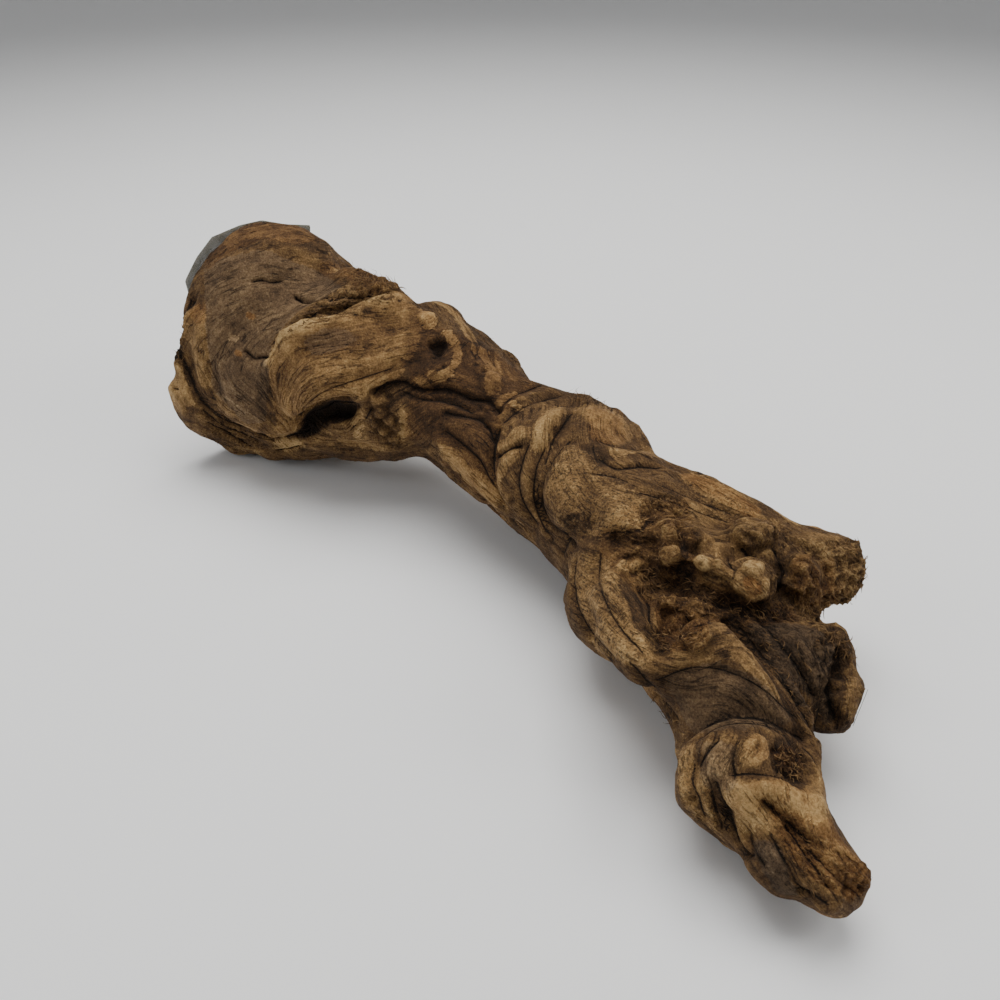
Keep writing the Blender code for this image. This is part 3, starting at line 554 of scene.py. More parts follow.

# Colour laid over the wood's own, with painted shade in some dark ones: (channel, amount, outline in pixels)
# for patches, and (channel, amount, half width in mm, line in pixels) for bands.
PATCHES = [
    # butt
    ("grey", 0.6, [
        (204, 262), (262, 250), (322, 272), (344, 290), (296, 314), (270, 344), (266, 420), (246, 424),
        (214, 392), (206, 330),
    ]),
    ("orange", 0.35, [
        (203, 244), (232, 228), (262, 222), (312, 226), (326, 240), (300, 246), (262, 240), (226, 254),
        (206, 272),
    ]),
    ("pale", 0.3, [(222, 236), (262, 224), (300, 228), (318, 240), (300, 246), (256, 236), (226, 248)]),
    ("orange", 0.3, [(318, 262), (350, 264), (344, 282), (322, 276)]),
    ("orange", 0.5, [(196, 306), (206, 304), (206, 322), (196, 326)]),
    ("pale", 0.36, [(194, 304), (206, 312), (207, 350), (216, 388), (200, 386), (192, 340)]),
    ("dark", 0.9, [(168, 314), (190, 314), (187, 362), (166, 366)]),
    ("pale", 0.45, [(164, 366), (184, 368), (194, 406), (174, 414)]),
    ("pale", 0.45, [(220, 445), (262, 447), (258, 458), (228, 458)]),
    ("pale", 0.35, [(214, 392), (228, 398), (244, 412), (262, 420), (258, 432), (236, 424), (218, 410)]),
    # bark shelf
    ("dark", 0.05, [
        (282, 334), (300, 316), (330, 304), (340, 290), (372, 284), (398, 289), (392, 299), (360, 307),
        (336, 317), (304, 327), (284, 344),
    ]),
    ("orange", 0.45, [(336, 270), (352, 262), (402, 288), (392, 299), (362, 296)]),
    # tongue, hollow and lower burl
    ("pale", 0.5, TONGUE),
    ("orange", 0.2, TONGUE),
    ("grey", 0.7, [(304, 340), (326, 330), (350, 330), (358, 340), (334, 352), (312, 356)]),
    ("dark", 0.2, [(300, 344), (326, 334), (354, 334), (380, 340), (350, 350), (316, 362)]),
    ("dark", 0.3, [(374, 318), (396, 312), (404, 330), (384, 344)]),
    # Painted shade in the deep hollow under the tongue.
    ("dark", 1.0, [
        (301, 434), (306, 418), (316, 408), (332, 402), (354, 405), (348, 418), (330, 426), (306, 438),
        (276, 444),
    ]),
    ("pale", 0.6, [(272, 444), (300, 441), (308, 447), (282, 453)]),
    ("pale", 0.5, [(398, 402), (406, 410), (409, 428), (402, 442), (393, 448), (399, 430)]),
    ("pale", 0.4, [(350, 412), (362, 406), (363, 424), (362, 440), (352, 436)]),
    ("pale", 0.5, [(336, 436), (356, 440), (390, 446), (380, 450), (340, 446)]),
    ("dark", 0.18, [(364, 400), (392, 402), (398, 428), (390, 446), (372, 444), (364, 424)]),
    # Painted shade in a knot's sunken eye.
    ("dark", 0.95, [(431, 338), (441, 337), (444, 350), (440, 359), (432, 353)]),
    # waist
    ("dark", 0.2, WAIST),
    ("orange", 0.3, WAIST),
    ("pale", 0.5, BELLY_STREAK),
    ("orange", 0.3, BELLY_STREAK),
    ("pale", 0.3, [(424, 446), (436, 450), (458, 474), (478, 496), (470, 496), (446, 474), (428, 456)]),
    # second knuckle
    ("orange", 0.4, [(585, 402), (622, 418), (626, 444), (590, 442)]),
    ("pale", 0.38, [
        (564, 410), (584, 403), (604, 403), (624, 418), (634, 441), (616, 448), (604, 430), (582, 422),
    ]),
    ("fleck", 0.9, [
        (566, 446), (600, 450), (604, 470), (640, 490), (644, 532), (600, 536), (558, 532), (546, 490),
    ]),
    ("pale", 0.36, [
        (566, 446), (592, 452), (598, 476), (640, 492), (644, 532), (600, 536), (558, 532), (546, 490),
    ]),
    ("dark", 0.6, [(562, 516), (588, 512), (592, 528), (566, 532)]),
    ("dark", 0.5, [(584, 440), (604, 444), (612, 460), (600, 470), (586, 462)]),
    ("dark", 0.3, [(560, 404), (576, 404), (566, 430), (556, 444), (552, 430)]),
    ("pale", 0.35, [(672, 472), (720, 480), (780, 522), (744, 514), (696, 492)]),
    ("fleck", 0.6, [(660, 470), (780, 520), (740, 530), (640, 500)]),
    # burl
    ("orange", 0.6, [(654, 598), (692, 596), (710, 612), (706, 650), (664, 650)]),
    ("pale", 0.22, [(660, 524), (676, 522), (688, 552), (682, 566), (664, 560)]),
    ("dark", 0.45, [(684, 528), (700, 526), (704, 542), (692, 546)]),
    ("dark", 0.35, [(714, 544), (730, 544), (732, 558), (716, 560)]),
    ("pale", 0.18, [(724, 522), (766, 518), (776, 540), (762, 556), (738, 560)]),
    ("pale", 0.12, [(738, 570), (764, 568), (774, 590), (752, 606), (734, 594)]),
    ("orange", 0.6, [(744, 580), (760, 580), (760, 598), (744, 598)]),
    # Dark fibres and painted shade in the burl's pits.
    ("dark", 0.7, [(652, 508), (674, 502), (684, 514), (662, 522)]),
    ("dark", 0.8, [(684, 560), (694, 567), (690, 584), (676, 592), (672, 574)]),
    ("dark", 0.6, [(640, 548), (656, 544), (658, 580), (644, 586)]),
    ("dark", 0.6, [(777, 546), (785, 552), (785, 594), (777, 600)]),
    ("dark", 0.8, [(660, 634), (676, 634), (676, 648), (660, 650)]),
    ("dark", 0.6, [(700, 594), (740, 602), (792, 609), (790, 618), (730, 614), (700, 606)]),
    ("dark", 0.6, [(740, 546), (756, 548), (758, 555), (742, 553)]),
    ("dark", 0.12, [(640, 500), (672, 490), (696, 512), (690, 524), (660, 524)]),
    ("dark", 0.2, [(600, 532), (648, 528), (662, 544), (652, 562), (618, 558)]),
    ("dark", 0.2, [
        (640, 572), (664, 570), (700, 582), (740, 600), (796, 608), (800, 622), (726, 622), (690, 604),
        (650, 602),
    ]),
    ("dark", 0.25, [(646, 630), (690, 634), (704, 646), (652, 654)]),
    ("orange", 0.3, [
        (640, 500), (690, 500), (700, 580), (790, 606), (800, 622), (700, 622), (640, 600), (600, 556),
        (600, 532),
    ]),
    # flank
    ("fleck", 0.7, [(564, 556), (640, 560), (648, 670), (604, 656), (572, 604)]),
    ("pale", 0.4, [(566, 552), (606, 556), (620, 590), (640, 640), (652, 672), (604, 656), (574, 604)]),
    ("dark", 0.3, [(628, 590), (640, 596), (650, 632), (640, 644), (630, 620)]),
    # stubs
    ("orange", 0.5, [(790, 556), (832, 560), (836, 604), (796, 606)]),
    ("grey", 0.7, LOWER_STUB),
    ("dark", 0.25, LOWER_STUB),
    ("dark", 0.6, [(828, 648), (842, 644), (842, 668), (832, 672)]),
    ("pale", 0.4, [(846, 664), (868, 666), (864, 718), (846, 722)]),
    # arm
    ("pale", 0.35, [(640, 640), (660, 648), (712, 624), (728, 640), (700, 664), (664, 676), (648, 664)]),
    ("grey", 0.6, [(664, 676), (720, 662), (760, 680), (796, 722), (770, 728), (690, 732)]),
    # front knuckle and tip
    ("pale", 0.42, KNUCKLE_KNOB),
    ("orange", 0.3, KNUCKLE_KNOB),
    ("fleck", 0.5, [(676, 760), (704, 742), (738, 742), (736, 796), (706, 820), (680, 800)]),
    ("grey", 0.5, [(700, 742), (736, 742), (736, 792), (704, 790)]),
    ("dark", 0.35, BARK_POCKET),
    ("orange", 0.6, BARK_POCKET),
    ("pale", 0.45, [(676, 756), (702, 742), (738, 736), (740, 790), (716, 830), (688, 812)]),
    ("dark", 0.3, [(730, 770), (772, 772), (812, 790), (806, 796), (768, 780), (732, 784)]),
    ("pale", 0.35, [(807, 760), (828, 766), (829, 812), (808, 804)]),
    ("grey", 0.9, TIP_LUMP),
    ("dark", 0.15, TIP_LUMP),
    ("orange", 0.85, [(830, 842), (868, 862), (878, 882), (850, 902), (834, 880)]),
    ("orange", 0.6, [(770, 800), (824, 818), (868, 866), (850, 900), (800, 870), (776, 834)]),
    ("pale", 0.45, [
        (728, 792), (746, 781), (776, 778), (808, 792), (828, 820), (812, 824), (792, 810), (766, 802),
        (752, 812), (756, 834), (744, 836), (734, 814),
    ]),
    ("pale", 0.12, [(806, 822), (830, 838), (864, 864), (850, 872), (812, 848)]),
    ("orange", 0.35, [
        (728, 792), (746, 781), (776, 778), (808, 792), (828, 820), (792, 810), (766, 802), (744, 820),
    ]),
    ("dark", 0.25, [(800, 890), (842, 896), (836, 918), (804, 910)]),
]

BANDS = [
    ("pale", 0.8, 2.6, [(448, 333), (456, 345), (457, 358), (450, 370), (440, 377), (431, 375)]),
    ("pale", 0.7, 3.4, [(400, 300), (425, 299), (446, 306), (462, 322), (472, 338)]),
    ("orange", 0.4, 3.0, [(400, 299), (425, 298), (446, 304), (464, 320)]),
    ("pale", 0.55, 4.2, [(478, 350), (488, 358), (494, 372), (492, 388)]),
    ("pale", 0.7, 2.0, [(497, 403), (506, 396), (517, 393)]),
    ("pale", 0.7, 1.6, [(513, 404), (521, 408)]),
    ("pale", 0.5, 4.4, [(520, 433), (511, 437), (504, 446)]),
    ("pale", 0.42, 3.8, [(511, 455), (502, 468), (499, 486), (505, 501)]),
    ("pale", 0.5, 4.8, [(561, 408), (550, 417), (543, 430), (541, 444)]),
    ("pale", 0.6, 3.0, [(426, 388), (420, 380)]),
    ("pale", 0.55, 3.2, [
        (396, 299), (376, 305), (352, 315), (322, 327), (298, 334), (280, 349), (268, 362),
    ]),
    ("pale", 0.8, 4, HOOK_TOP),
    ("orange", 0.6, 3.4, HOOK_TOP),
    ("orange", 0.8, 1.8, [(236, 352), (239, 354)]),
    ("orange", 0.8, 1.8, [(249, 315), (252, 317)]),
    ("pale", 0.6, 1.6, [(231, 337), (236, 338)]),
    ("pale", 0.6, 3.5, [(616, 452), (636, 453), (660, 459)]),
    ("orange", 0.6, 4, [(688, 478), (720, 492), (752, 511)]),
    ("pale", 0.5, 3.5, [(640, 640), (650, 655), (672, 654), (700, 643), (718, 625)]),
    ("pale", 0.55, 3.4, [(730, 644), (750, 662), (774, 688)]),
    ("pale", 0.7, 1.4, [(565, 470), (573, 482), (582, 492)]),
    ("pale", 0.42, 4.0, [(694, 560), (712, 566), (734, 576)]),
    ("pale", 0.4, 2.4, [(664, 530), (674, 530), (680, 540), (676, 552)]),
    ("pale", 0.34, 2.0, [(738, 592), (735, 578), (740, 568), (752, 564), (765, 569), (770, 582)]),
    ("orange", 0.9, 2.6, [(749, 582), (756, 588)]),
    # Painted shade in a knot's eye and in the groove round another knot's foot.
    ("dark", 0.5, 1.3, [(747, 586), (752, 592), (760, 590)]),
    ("dark", 0.8, 1.4, [(672, 527), (682, 533), (688, 544), (684, 552)]),
    ("pale", 0.45, 3, [(612, 570), (626, 566), (638, 564)]),
    # Painted shade in the front knuckle's grooves.
    ("dark", 0.7, 2.2, [(700, 745), (698, 756), (703, 765)]),
    ("dark", 0.7, 2.2, [(714, 788), (718, 800), (724, 814)]),
    ("grey", 0.6, 3, [(262, 281), (290, 284), (310, 292)]),
]

# Broad soft shades: (lighter above nought and darker below, outline in pixels).
SHADES = [
    (0.30, [(196, 408), (262, 430), (300, 440), (300, 456), (230, 460), (196, 436)]),
    (0.34, [(310, 412), (350, 420), (366, 402), (410, 404), (412, 450), (310, 452)]),
    (-0.14, [(404, 340), (476, 344), (500, 400), (500, 460), (440, 440), (400, 400)]),
    (-0.20, [(300, 342), (326, 330), (372, 326), (384, 338), (350, 350), (312, 360)]),
    (0.55, [
        (280, 338), (298, 314), (330, 294), (350, 284), (398, 288), (394, 298), (336, 318), (284, 346),
    ]),
    (0.40, [(640, 500), (700, 500), (790, 520), (800, 600), (700, 606), (640, 600), (600, 556)]),
    (0.05, [(690, 590), (790, 606), (800, 622), (700, 622)]),
    (0.30, [(650, 596), (712, 600), (706, 652), (650, 652)]),
    (0.60, [(796, 536), (866, 536), (866, 606), (800, 620)]),
    (0.12, LOWER_STUB),
    (0.46, [(728, 786), (776, 776), (830, 806), (830, 826), (740, 830)]),
    (0.22, [(822, 836), (866, 856), (880, 884), (850, 910), (820, 880)]),
    (0.36, [(740, 812), (820, 820), (866, 870), (840, 912), (770, 880)]),
    (0.30, [(204, 262), (262, 230), (322, 262), (300, 320), (276, 360), (246, 420), (206, 380)]),
    (0.20, [(166, 316), (196, 316), (194, 404), (166, 400)]),
    (0.20, [(664, 664), (720, 660), (790, 716), (770, 728), (690, 732)]),
    (0.12, [(680, 756), (735, 742), (740, 800), (706, 822)]),
    (0.25, [(430, 440), (500, 470), (512, 508), (470, 500)]),
    (0.10, [(496, 400), (560, 400), (560, 500), (500, 500)]),
    (0.18, [(570, 400), (630, 406), (640, 444), (600, 446)]),
    (0.14, [(566, 446), (600, 450), (644, 490), (644, 532), (600, 536), (546, 490)]),
    (0.14, [(640, 460), (700, 476), (780, 522), (740, 530), (640, 500)]),
    (0.14, [(566, 552), (612, 556), (640, 640), (652, 672), (604, 656), (572, 604)]),
    (-0.20, [(205, 226), (262, 222), (326, 236), (322, 256), (262, 244), (206, 262)]),
]

# Tufts of torn fibres: (count, length, half width, lift, outline), in mm and pixels.
TUFTS = [
    (260, 6, 0.32, 0.22, [(340, 262), (356, 262), (372, 268), (402, 289), (390, 297), (350, 288)]),
    (160, 5, 0.4, 0.25, [
        (282, 336), (300, 316), (330, 302), (350, 288), (398, 288), (392, 299), (336, 318), (304, 328),
    ]),
    (50, 5, 0.24, 0.5, [(566, 387), (606, 399), (608, 408), (566, 398)]),
    (30, 4, 0.24, 0.5, [(464, 320), (488, 334), (484, 346), (464, 336)]),
    (150, 4, 0.4, 0.35, [(840, 534), (868, 545), (868, 590), (846, 606), (832, 580)]),
    (110, 4, 0.4, 0.35, [(796, 596), (846, 588), (852, 606), (800, 620)]),
    (60, 4, 0.36, 0.35, [(798, 618), (850, 618), (860, 664), (826, 660)]),
    (150, 4.5, 0.4, 0.3, [(640, 500), (690, 496), (696, 520), (650, 600), (600, 556), (604, 532)]),
    (180, 4.5, 0.4, 0.3, [(640, 566), (700, 584), (790, 606), (798, 622), (700, 616), (644, 600)]),
    (80, 4, 0.36, 0.35, [(650, 626), (700, 622), (702, 646), (654, 652)]),
    (80, 3.2, 0.34, 0.4, [(774, 746), (804, 744), (806, 780), (776, 780)]),
    (110, 4, 0.28, 0.12, [(780, 802), (872, 868), (858, 902), (800, 886)]),
    (50, 4, 0.3, 0.4, [(170, 318), (194, 318), (190, 362), (166, 364)]),
    (70, 5, 0.3, 0.3, [(198, 412), (262, 440), (256, 458), (206, 442)]),
    (50, 3.5, 0.3, 0.5, [(646, 690), (668, 700), (692, 740), (674, 746)]),
    (70, 4.5, 0.28, 0.25, [(742, 622), (800, 640), (826, 728), (806, 722)]),
]

# Grooves on the sides that the view doesn't see: (rise, half width, side, places in mm).
BACK_FOLDS = [
    (-2.2, 2.2, "back", [(-180, 80, 96), (-150, 80, 84), (-110, 80, 88), (-60, 80, 78), (-20, 80, 74)]),
    (1.8, 4.5, "back", [(-186, 80, 60), (-140, 80, 62), (-90, 80, 60), (-40, 80, 58), (10, 80, 62)]),
    (-1.8, 1.8, "back", [(-120, 80, 48), (-70, 80, 44), (-20, 80, 46), (30, 80, 44), (70, 80, 50)]),
    (2.0, 4.0, "back", [(0, 80, 76), (40, 80, 70), (80, 80, 74), (120, 80, 62)]),
    (-2.2, 2.0, "back", [(20, 80, 60), (60, 80, 58), (100, 80, 64), (140, 80, 54)]),
    (-1.8, 1.8, "back", [(-218, 80, 100), (-208, 80, 80), (-212, 80, 50), (-206, 80, 24)]),
    (1.6, 4.0, "back", [(-200, 80, 104), (-190, 80, 80), (-194, 80, 50), (-190, 80, 26)]),
    (-2.0, 2.0, "under", [(-190, 10, -60), (-130, 0, -60), (-70, 10, -60), (0, -6, -60), (70, 4, -60)]),
    (1.6, 4.0, "under", [
        (-170, -20, -60), (-100, -16, -60), (-30, -20, -60), (50, -22, -60), (120, -20, -60),
    ]),
]


# Noise, as whole arrays

CELL_FACTORS = np.array((73856093, 19349663, 83492791, 49979687), dtype=np.uint32)


def hashed(cells, seed):
    """A number from 0 to 1 for each whole-number cell: its coordinates are multiplied, mixed and folded."""
    total = np.full(cells.shape[:-1], (seed * 668265263 + 12345) % 2**32, dtype=np.uint32)
    for axis in range(cells.shape[-1]):
        total ^= cells[..., axis].astype(np.int64).astype(np.uint32) * CELL_FACTORS[axis]
        total = (total ^ (total >> np.uint32(15))) * np.uint32(2246822519)
    total = (total ^ (total >> np.uint32(13))) * np.uint32(3266489917)
    return (total ^ (total >> np.uint32(16))) / 2.0**32


def cloud(points, seed):
    """Soft noise from -1 to 1: each cell's corners have chance values, and smooth shares mix them."""
    base = np.floor(points)
    share = points - base
    share = share * share * (3 - 2 * share)
    total = np.zeros(len(points))
    size = points.shape[1]
    for corner in range(2**size):
        offset = np.array([(corner >> axis) & 1 for axis in range(size)])
        weight = np.prod(np.where(offset, share, 1 - share), axis=1)
        total += weight * hashed(base + offset, seed)
    return 2 * total - 1


def clods(points, seed):
    """Rounded crumbs with clefts between: how much farther the second nearest of the cells' chance points is
    than the nearest."""
    base = np.floor(points)
    first = np.full(len(points), FAR)
    second = np.full(len(points), FAR)
    for corner in range(27):
        cell = base + np.array((corner % 3 - 1, corner // 3 % 3 - 1, corner // 9 - 1))
        spot = cell + np.stack([hashed(cell, seed + axis) for axis in range(3)], axis=1)
        away = np.linalg.norm(points - spot, axis=1)
        second = np.minimum(second, np.maximum(first, away))
        first = np.minimum(first, away)
    return np.clip((second - first) * 2.2, 0, 1)


def crags(points, seed):
    """Torn ridges from about -1 to 1: one less twice the size of soft noise, in three layers. Each is finer
    and fainter than the one before, and bent by it."""
    total = np.zeros(len(points))
    bend = 0
    for layer, share in enumerate((1.0, 0.6, 0.36)):
        ridge = 1 - 2 * np.abs(cloud(points * 2.1**layer + bend, seed + layer))
        total += share * ridge
        bend = 0.5 * ridge[:, None]
    return total / 1.5 - 0.5


# The skin's arrays

def made_finer(mesh):
    """A closed mesh made anew by voxels."""
    piece = placed("vine_wood_fine", mesh)
    voxels = piece.modifiers.new("voxels", "REMESH")
    voxels.mode = "VOXEL"
    voxels.voxel_size = SKIN_VOXEL
    graph = bpy.context.evaluated_depsgraph_get()
    result = bpy.data.meshes.new_from_object(piece.evaluated_get(graph))
    bpy.data.objects.remove(piece)
    return result


def read(collection, name, width, kind=np.float64):
    """One property of all of a mesh's vertices, edges or triangles, as rows."""
    values = np.empty(len(collection) * width, dtype=kind)
    collection.foreach_get(name, values)
    return values.reshape(-1, width) if width > 1 else values


def unit(vectors):
    """Vectors made one long."""
    return vectors / np.maximum(np.linalg.norm(vectors, axis=-1, keepdims=True), 1e-12)


class Skin:
    """The wood's skin as arrays: places, edges and triangles, with means over neighbours."""

    def __init__(self, mesh):
        self.mesh = mesh
        self.places = read(mesh.vertices, "co", 3)
        self.edges = read(mesh.edges, "vertices", 2, np.int32)
        mesh.calc_loop_triangles()
        self.triangles = read(mesh.loop_triangles, "vertices", 3, np.int32)
        self.count = len(self.places)
        ends = self.edges.ravel()
        self.degree = np.maximum(np.bincount(ends, minlength=self.count), 1)
        self.update()

    def update(self):
        """Normals: each vertex has the sum of its triangles' cross products, made one long."""
        corners = self.places[self.triangles]
        across = np.cross(corners[:, 1] - corners[:, 0], corners[:, 2] - corners[:, 0])
        total = np.zeros((self.count, 3))
        for corner in range(3):
            for axis in range(3):
                total[:, axis] += np.bincount(self.triangles[:, corner], across[:, axis], self.count)
        self.normals = unit(total)

    def mean(self, values):
        """Each vertex's mean over its neighbours."""
        one, two = self.edges.T
        if values.ndim == 1:
            total = np.bincount(one, values[two], self.count) + np.bincount(two, values[one], self.count)
            return total / self.degree
        return np.stack([self.mean(values[:, axis]) for axis in range(values.shape[1])], axis=1)

    def soften(self, values, rounds, share=0.5):
        """Values moved part of the way to their neighbours' mean, again and again."""
        for _ in range(rounds):
            values = values + share * (self.mean(values) - values)
        return values

    def tree(self):
        return BVHTree.FromPolygons(self.places.tolist(), self.triangles.tolist())


def wood_skin():
    """The solid's skin, made finer by voxels and softened until its flat faces are gone."""
    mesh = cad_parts["vine_wood"].data.copy()
    work = bmesh.new()
    work.from_mesh(mesh)
    bmesh.ops.remove_doubles(work, verts=work.verts, dist=SAME_POINT)
    work.to_mesh(mesh)
    work.free()
    skin = Skin(made_finer(mesh))
    skin.places = skin.soften(skin.places, SOFTEN_ROUNDS)
    skin.update()
    return skin


# Lines on the skin

def spread_line(pixels, spacing):
    """A line's points joined by a smooth curve through them and spread at an even spacing."""
    points = np.array(pixels, dtype=float)
    if len(points) == 2:
        knots = np.vstack((points[0], points, points[1]))
    else:
        knots = np.vstack((2 * points[0] - points[1], points, 2 * points[-1] - points[-2]))
    pieces = []
    for place in range(1, len(knots) - 2):
        before, start, end, after = knots[place - 1:place + 3]
        steps = max(2, int(np.linalg.norm(end - start) / spacing))
        t = np.linspace(0, 1, steps, endpoint=False)[:, None]
        pieces.append(0.5 * (
            2 * start + (end - before) * t + (2 * before - 5 * start + 4 * end - after) * t**2
            + (3 * start - before - 3 * end + after) * t**3
        ))
    pieces.append(points[-1:])
    return np.vstack(pieces)


def seen_line(tree, pixels, spacing=3.0):
    """A line of the reference view laid on the skin: places and normals where each pixel's ray meets it."""
    places, normals = [], []
    for px, py in spread_line(pixels, spacing):
        place, normal, _, _ = tree.ray_cast(VIEW_EYE, view_ray(px, py))
        if place is not None:
            places.append(place)
            normals.append(normal)
    return np.array(places), np.array(normals)


def hidden_line(tree, line, side, spacing=6.0):
    """A line laid on a side that the view doesn't see, cast straight in from the back, the top or below."""
    out = Vector({"back": (0, 1, 0), "top": (0, 0, 1), "under": (0, 0, -1)}[side])
    places, normals = [], []
    for point in spread_line(line, spacing):
        place, normal, _, _ = tree.ray_cast(Vector(point * MM) + out * CAST_FROM, -out)
        if place is not None:
            places.append(place)
            normals.append(normal)
    return np.array(places), np.array(normals)


def round_line(skin, line, reach):
    """The vertices near a line, with their distance to it, the side they are on (left above nought), the
    share to which they face as it does, and the nearest part's direction. A jump over a gap is left out."""
    places, normals = line
    low = places.min(axis=0) - reach
    high = places.max(axis=0) + reach
    near = np.flatnonzero(np.all((skin.places > low) & (skin.places < high), axis=1))
    step = np.diff(places, axis=0)
    length = np.linalg.norm(step, axis=1)
    whole = (length > 1e-6) & (length < LONGEST_STEP)
    if not len(near) or not whole.any():
        return near[:0], np.zeros(0), np.zeros(0), np.zeros(0), np.zeros((0, 3))
    start, step, length = places[:-1][whole], step[whole], length[whole]
    up = unit(normals[:-1] + normals[1:])[whole]
    away = skin.places[near][:, None, :] - start[None]
    share = np.clip(np.einsum("vsk,sk->vs", away, step) / length**2, 0, 1)
    away = away - share[..., None] * step[None]
    gap = np.linalg.norm(away, axis=2)
    best = gap.argmin(axis=1)
    rows = np.arange(len(near))
    distance = gap[rows, best]
    left = unit(np.cross(up, step))[best]
    side = np.einsum("vk,vk->v", away[rows, best], left)
    facing = np.clip(2.5 * np.einsum("vk,vk->v", skin.normals[near], up[best]), 0, 1)
    keep = distance < reach
    return near[keep], distance[keep], side[keep], facing[keep], unit(step)[best][keep]


# Carving

def fold_rise(skin, line, rise, width):
    """A long fold: the rise times a bell of the distance to the line, where the skin faces as it does."""
    near, distance, _, facing, _ = round_line(skin, line, 2.6 * width)
    return near, rise * np.exp(-(distance / width) ** 2) * facing


def step_rise(skin, line, rise, reach):
    """A lapped edge: full height just left of the line, dying away as a bell, and nothing on its right."""
    near, distance, side, facing, _ = round_line(skin, line, 2.4 * reach)
    lip = 1 / (1 + np.exp(-side / (0.5 * MM)))
    return near, rise * lip * np.exp(-(distance / reach) ** 2) * facing


def round_spot(skin, tree, px, py, reach):
    """The vertices round a pixel's place on the skin: which ones, distance along the skin's face, facing."""
    place, normal, _, _ = tree.ray_cast(VIEW_EYE, view_ray(px, py))
    if place is None:
        return np.zeros(0, dtype=int), np.zeros(0), np.zeros(0)
    away = skin.places - np.array(place)
    near = np.flatnonzero(np.einsum("vk,vk->v", away, away) < (1.5 * reach) ** 2)
    away = away[near]
    up = np.array(normal)
    height = away @ up
    radius = np.linalg.norm(away - height[:, None] * up, axis=1)
    facing = np.clip(2.5 * (skin.normals[near] @ up), 0, 1) * (np.abs(height) < 1.2 * reach)
    return near, radius, facing


def knot_rise(skin, tree, knot):
    """A knot: a flat-topped boss, an eye sunk in its middle and a groove round its foot, not quite round."""
    px, py, *sizes = knot
    radius, rise, groove, eye_depth, eye_radius = (size * MM for size in sizes)
    near, gap, facing = round_spot(skin, tree, px, py, 2 * radius)
    gap = gap * (1 + 0.16 * cloud(skin.places[near] / (3.5 * MM), 7))
    boss = rise * np.exp(-(gap / (0.86 * radius)) ** 4)
    foot = groove * np.exp(-((gap - 1.12 * radius) / (0.26 * radius + 0.3 * MM)) ** 2)
    eye = eye_depth * np.exp(-(gap / eye_radius) ** 2)
    return near, (boss - foot - eye) * facing, gap, radius


def inside(outline, points):
    """Whether points lie inside an outline: a line to the right crosses it an odd number of times."""
    corners = np.array(outline, dtype=float)
    result = np.zeros(len(points), dtype=bool)
    for (ax, ay), (bx, by) in zip(corners, np.roll(corners, -1, axis=0)):
        if ay == by:
            continue
        crosses = (ay > points[:, 1]) != (by > points[:, 1])
        result ^= crosses & (points[:, 0] < (bx - ax) * (points[:, 1] - ay) / (by - ay) + ax)
    return result


def seen_pixels(skin):
    """Each vertex's pixel in the reference view, and whether it is seen: it faces the eye, and nothing in its
    cell of the view is clearly nearer."""
    middle = np.array(view_ray(VIEW_CENTRE_PX, VIEW_CENTRE_PX))
    right = unit(np.cross(middle, (0, 0, 1)))
    up = np.cross(right, middle)
    away = skin.places - np.array(VIEW_EYE)
    depth = away @ middle
    pixels = np.stack((
        VIEW_CENTRE_PX + VIEW_FOCAL_PX * (away @ right) / depth,
        VIEW_CENTRE_PX - VIEW_FOCAL_PX * (away @ up) / depth,
    ), axis=1)
    towards = -np.einsum("vk,vk->v", unit(away), skin.normals)
    cells = (pixels // VIEW_CELL).astype(int)
    row = cells[:, 0] + CELLS_IN_ROW * cells[:, 1]
    nearest = np.full(row.max() + 1, FAR)
    np.minimum.at(nearest, row[towards > 0], depth[towards > 0])
    return pixels, (towards > SEEN_FROM) & (depth < nearest[row] + HIDDEN_BY)


def crack_marks(skin, tree):
    """Crisp dark lines that the material draws: cracks along narrow grooves, and painted shade along the
    lapped edges. They come in two sets so that close ones don't meet. Each set has the signed distance to its
    nearest groove or lapped edge, in half widths, and a share that ends it."""
    grooves = [(-rise, line) for rise, width, line in FOLDS if rise < -CRACK_DEPTH and width < CRACK_WIDTH]
    lines = [(0.30 + 0.13 * min(depth, 3), line) for depth, line in grooves]
    lines += [(STEP_SHADE_LINE, line) for _, _, line in STEPS]
    marks = {}
    for place, name in enumerate(("crack_and_lip_shade_one", "crack_and_lip_shade_two")):
        distance = np.full(skin.count, FAR)
        share = np.zeros(skin.count)
        for half, line in lines[place::2]:
            near, gap, side, facing, _ = round_line(skin, seen_line(tree, line), 4.5 * MM)
            closer = gap / MM < np.abs(distance[near]) * half
            rows, gap, side, facing = near[closer], gap[closer], side[closer], facing[closer]
            distance[rows] = np.sign(side) * gap / MM / half
            ended = np.clip((gap - np.abs(side)) / (0.7 * MM), 0, 1)
            share[rows] = np.clip(2.2 - gap / (1.6 * MM), 0, 1) * (1 - ended) * facing
        marks[name] = distance
        marks[name + "_share"] = share
    return marks


# The grain

def grain_run(skin, tree):
    """The fibres' direction at each vertex: the mean of the nearby lines' directions, by bells of the
    distance, laid into the skin's face. Where no line reaches, the fibres run along the trunk."""
    total = np.zeros((skin.count, 3))
    total[:, 0] = 0.004
    for reach, pixels in GRAIN:
        near, distance, _, facing, run = round_line(skin, seen_line(tree, pixels, 5.0), 2.2 * reach * MM)
        weight = np.exp(-(distance / (0.45 * reach * MM)) ** 2) * (0.02 + facing)
        np.add.at(total, near, weight[:, None] * run)
    for reach, side, places in BACK_GRAIN:
        near, distance, _, facing, run = round_line(skin, hidden_line(tree, places, side), 1.6 * reach * MM)
        weight = 0.05 * np.exp(-(distance / (0.7 * reach * MM)) ** 2) * facing
        np.add.at(total, near, weight[:, None] * run)
    total = skin.soften(unit(total), 12)
    total -= np.einsum("vk,vk->v", total, skin.normals)[:, None] * skin.normals
    return unit(total)


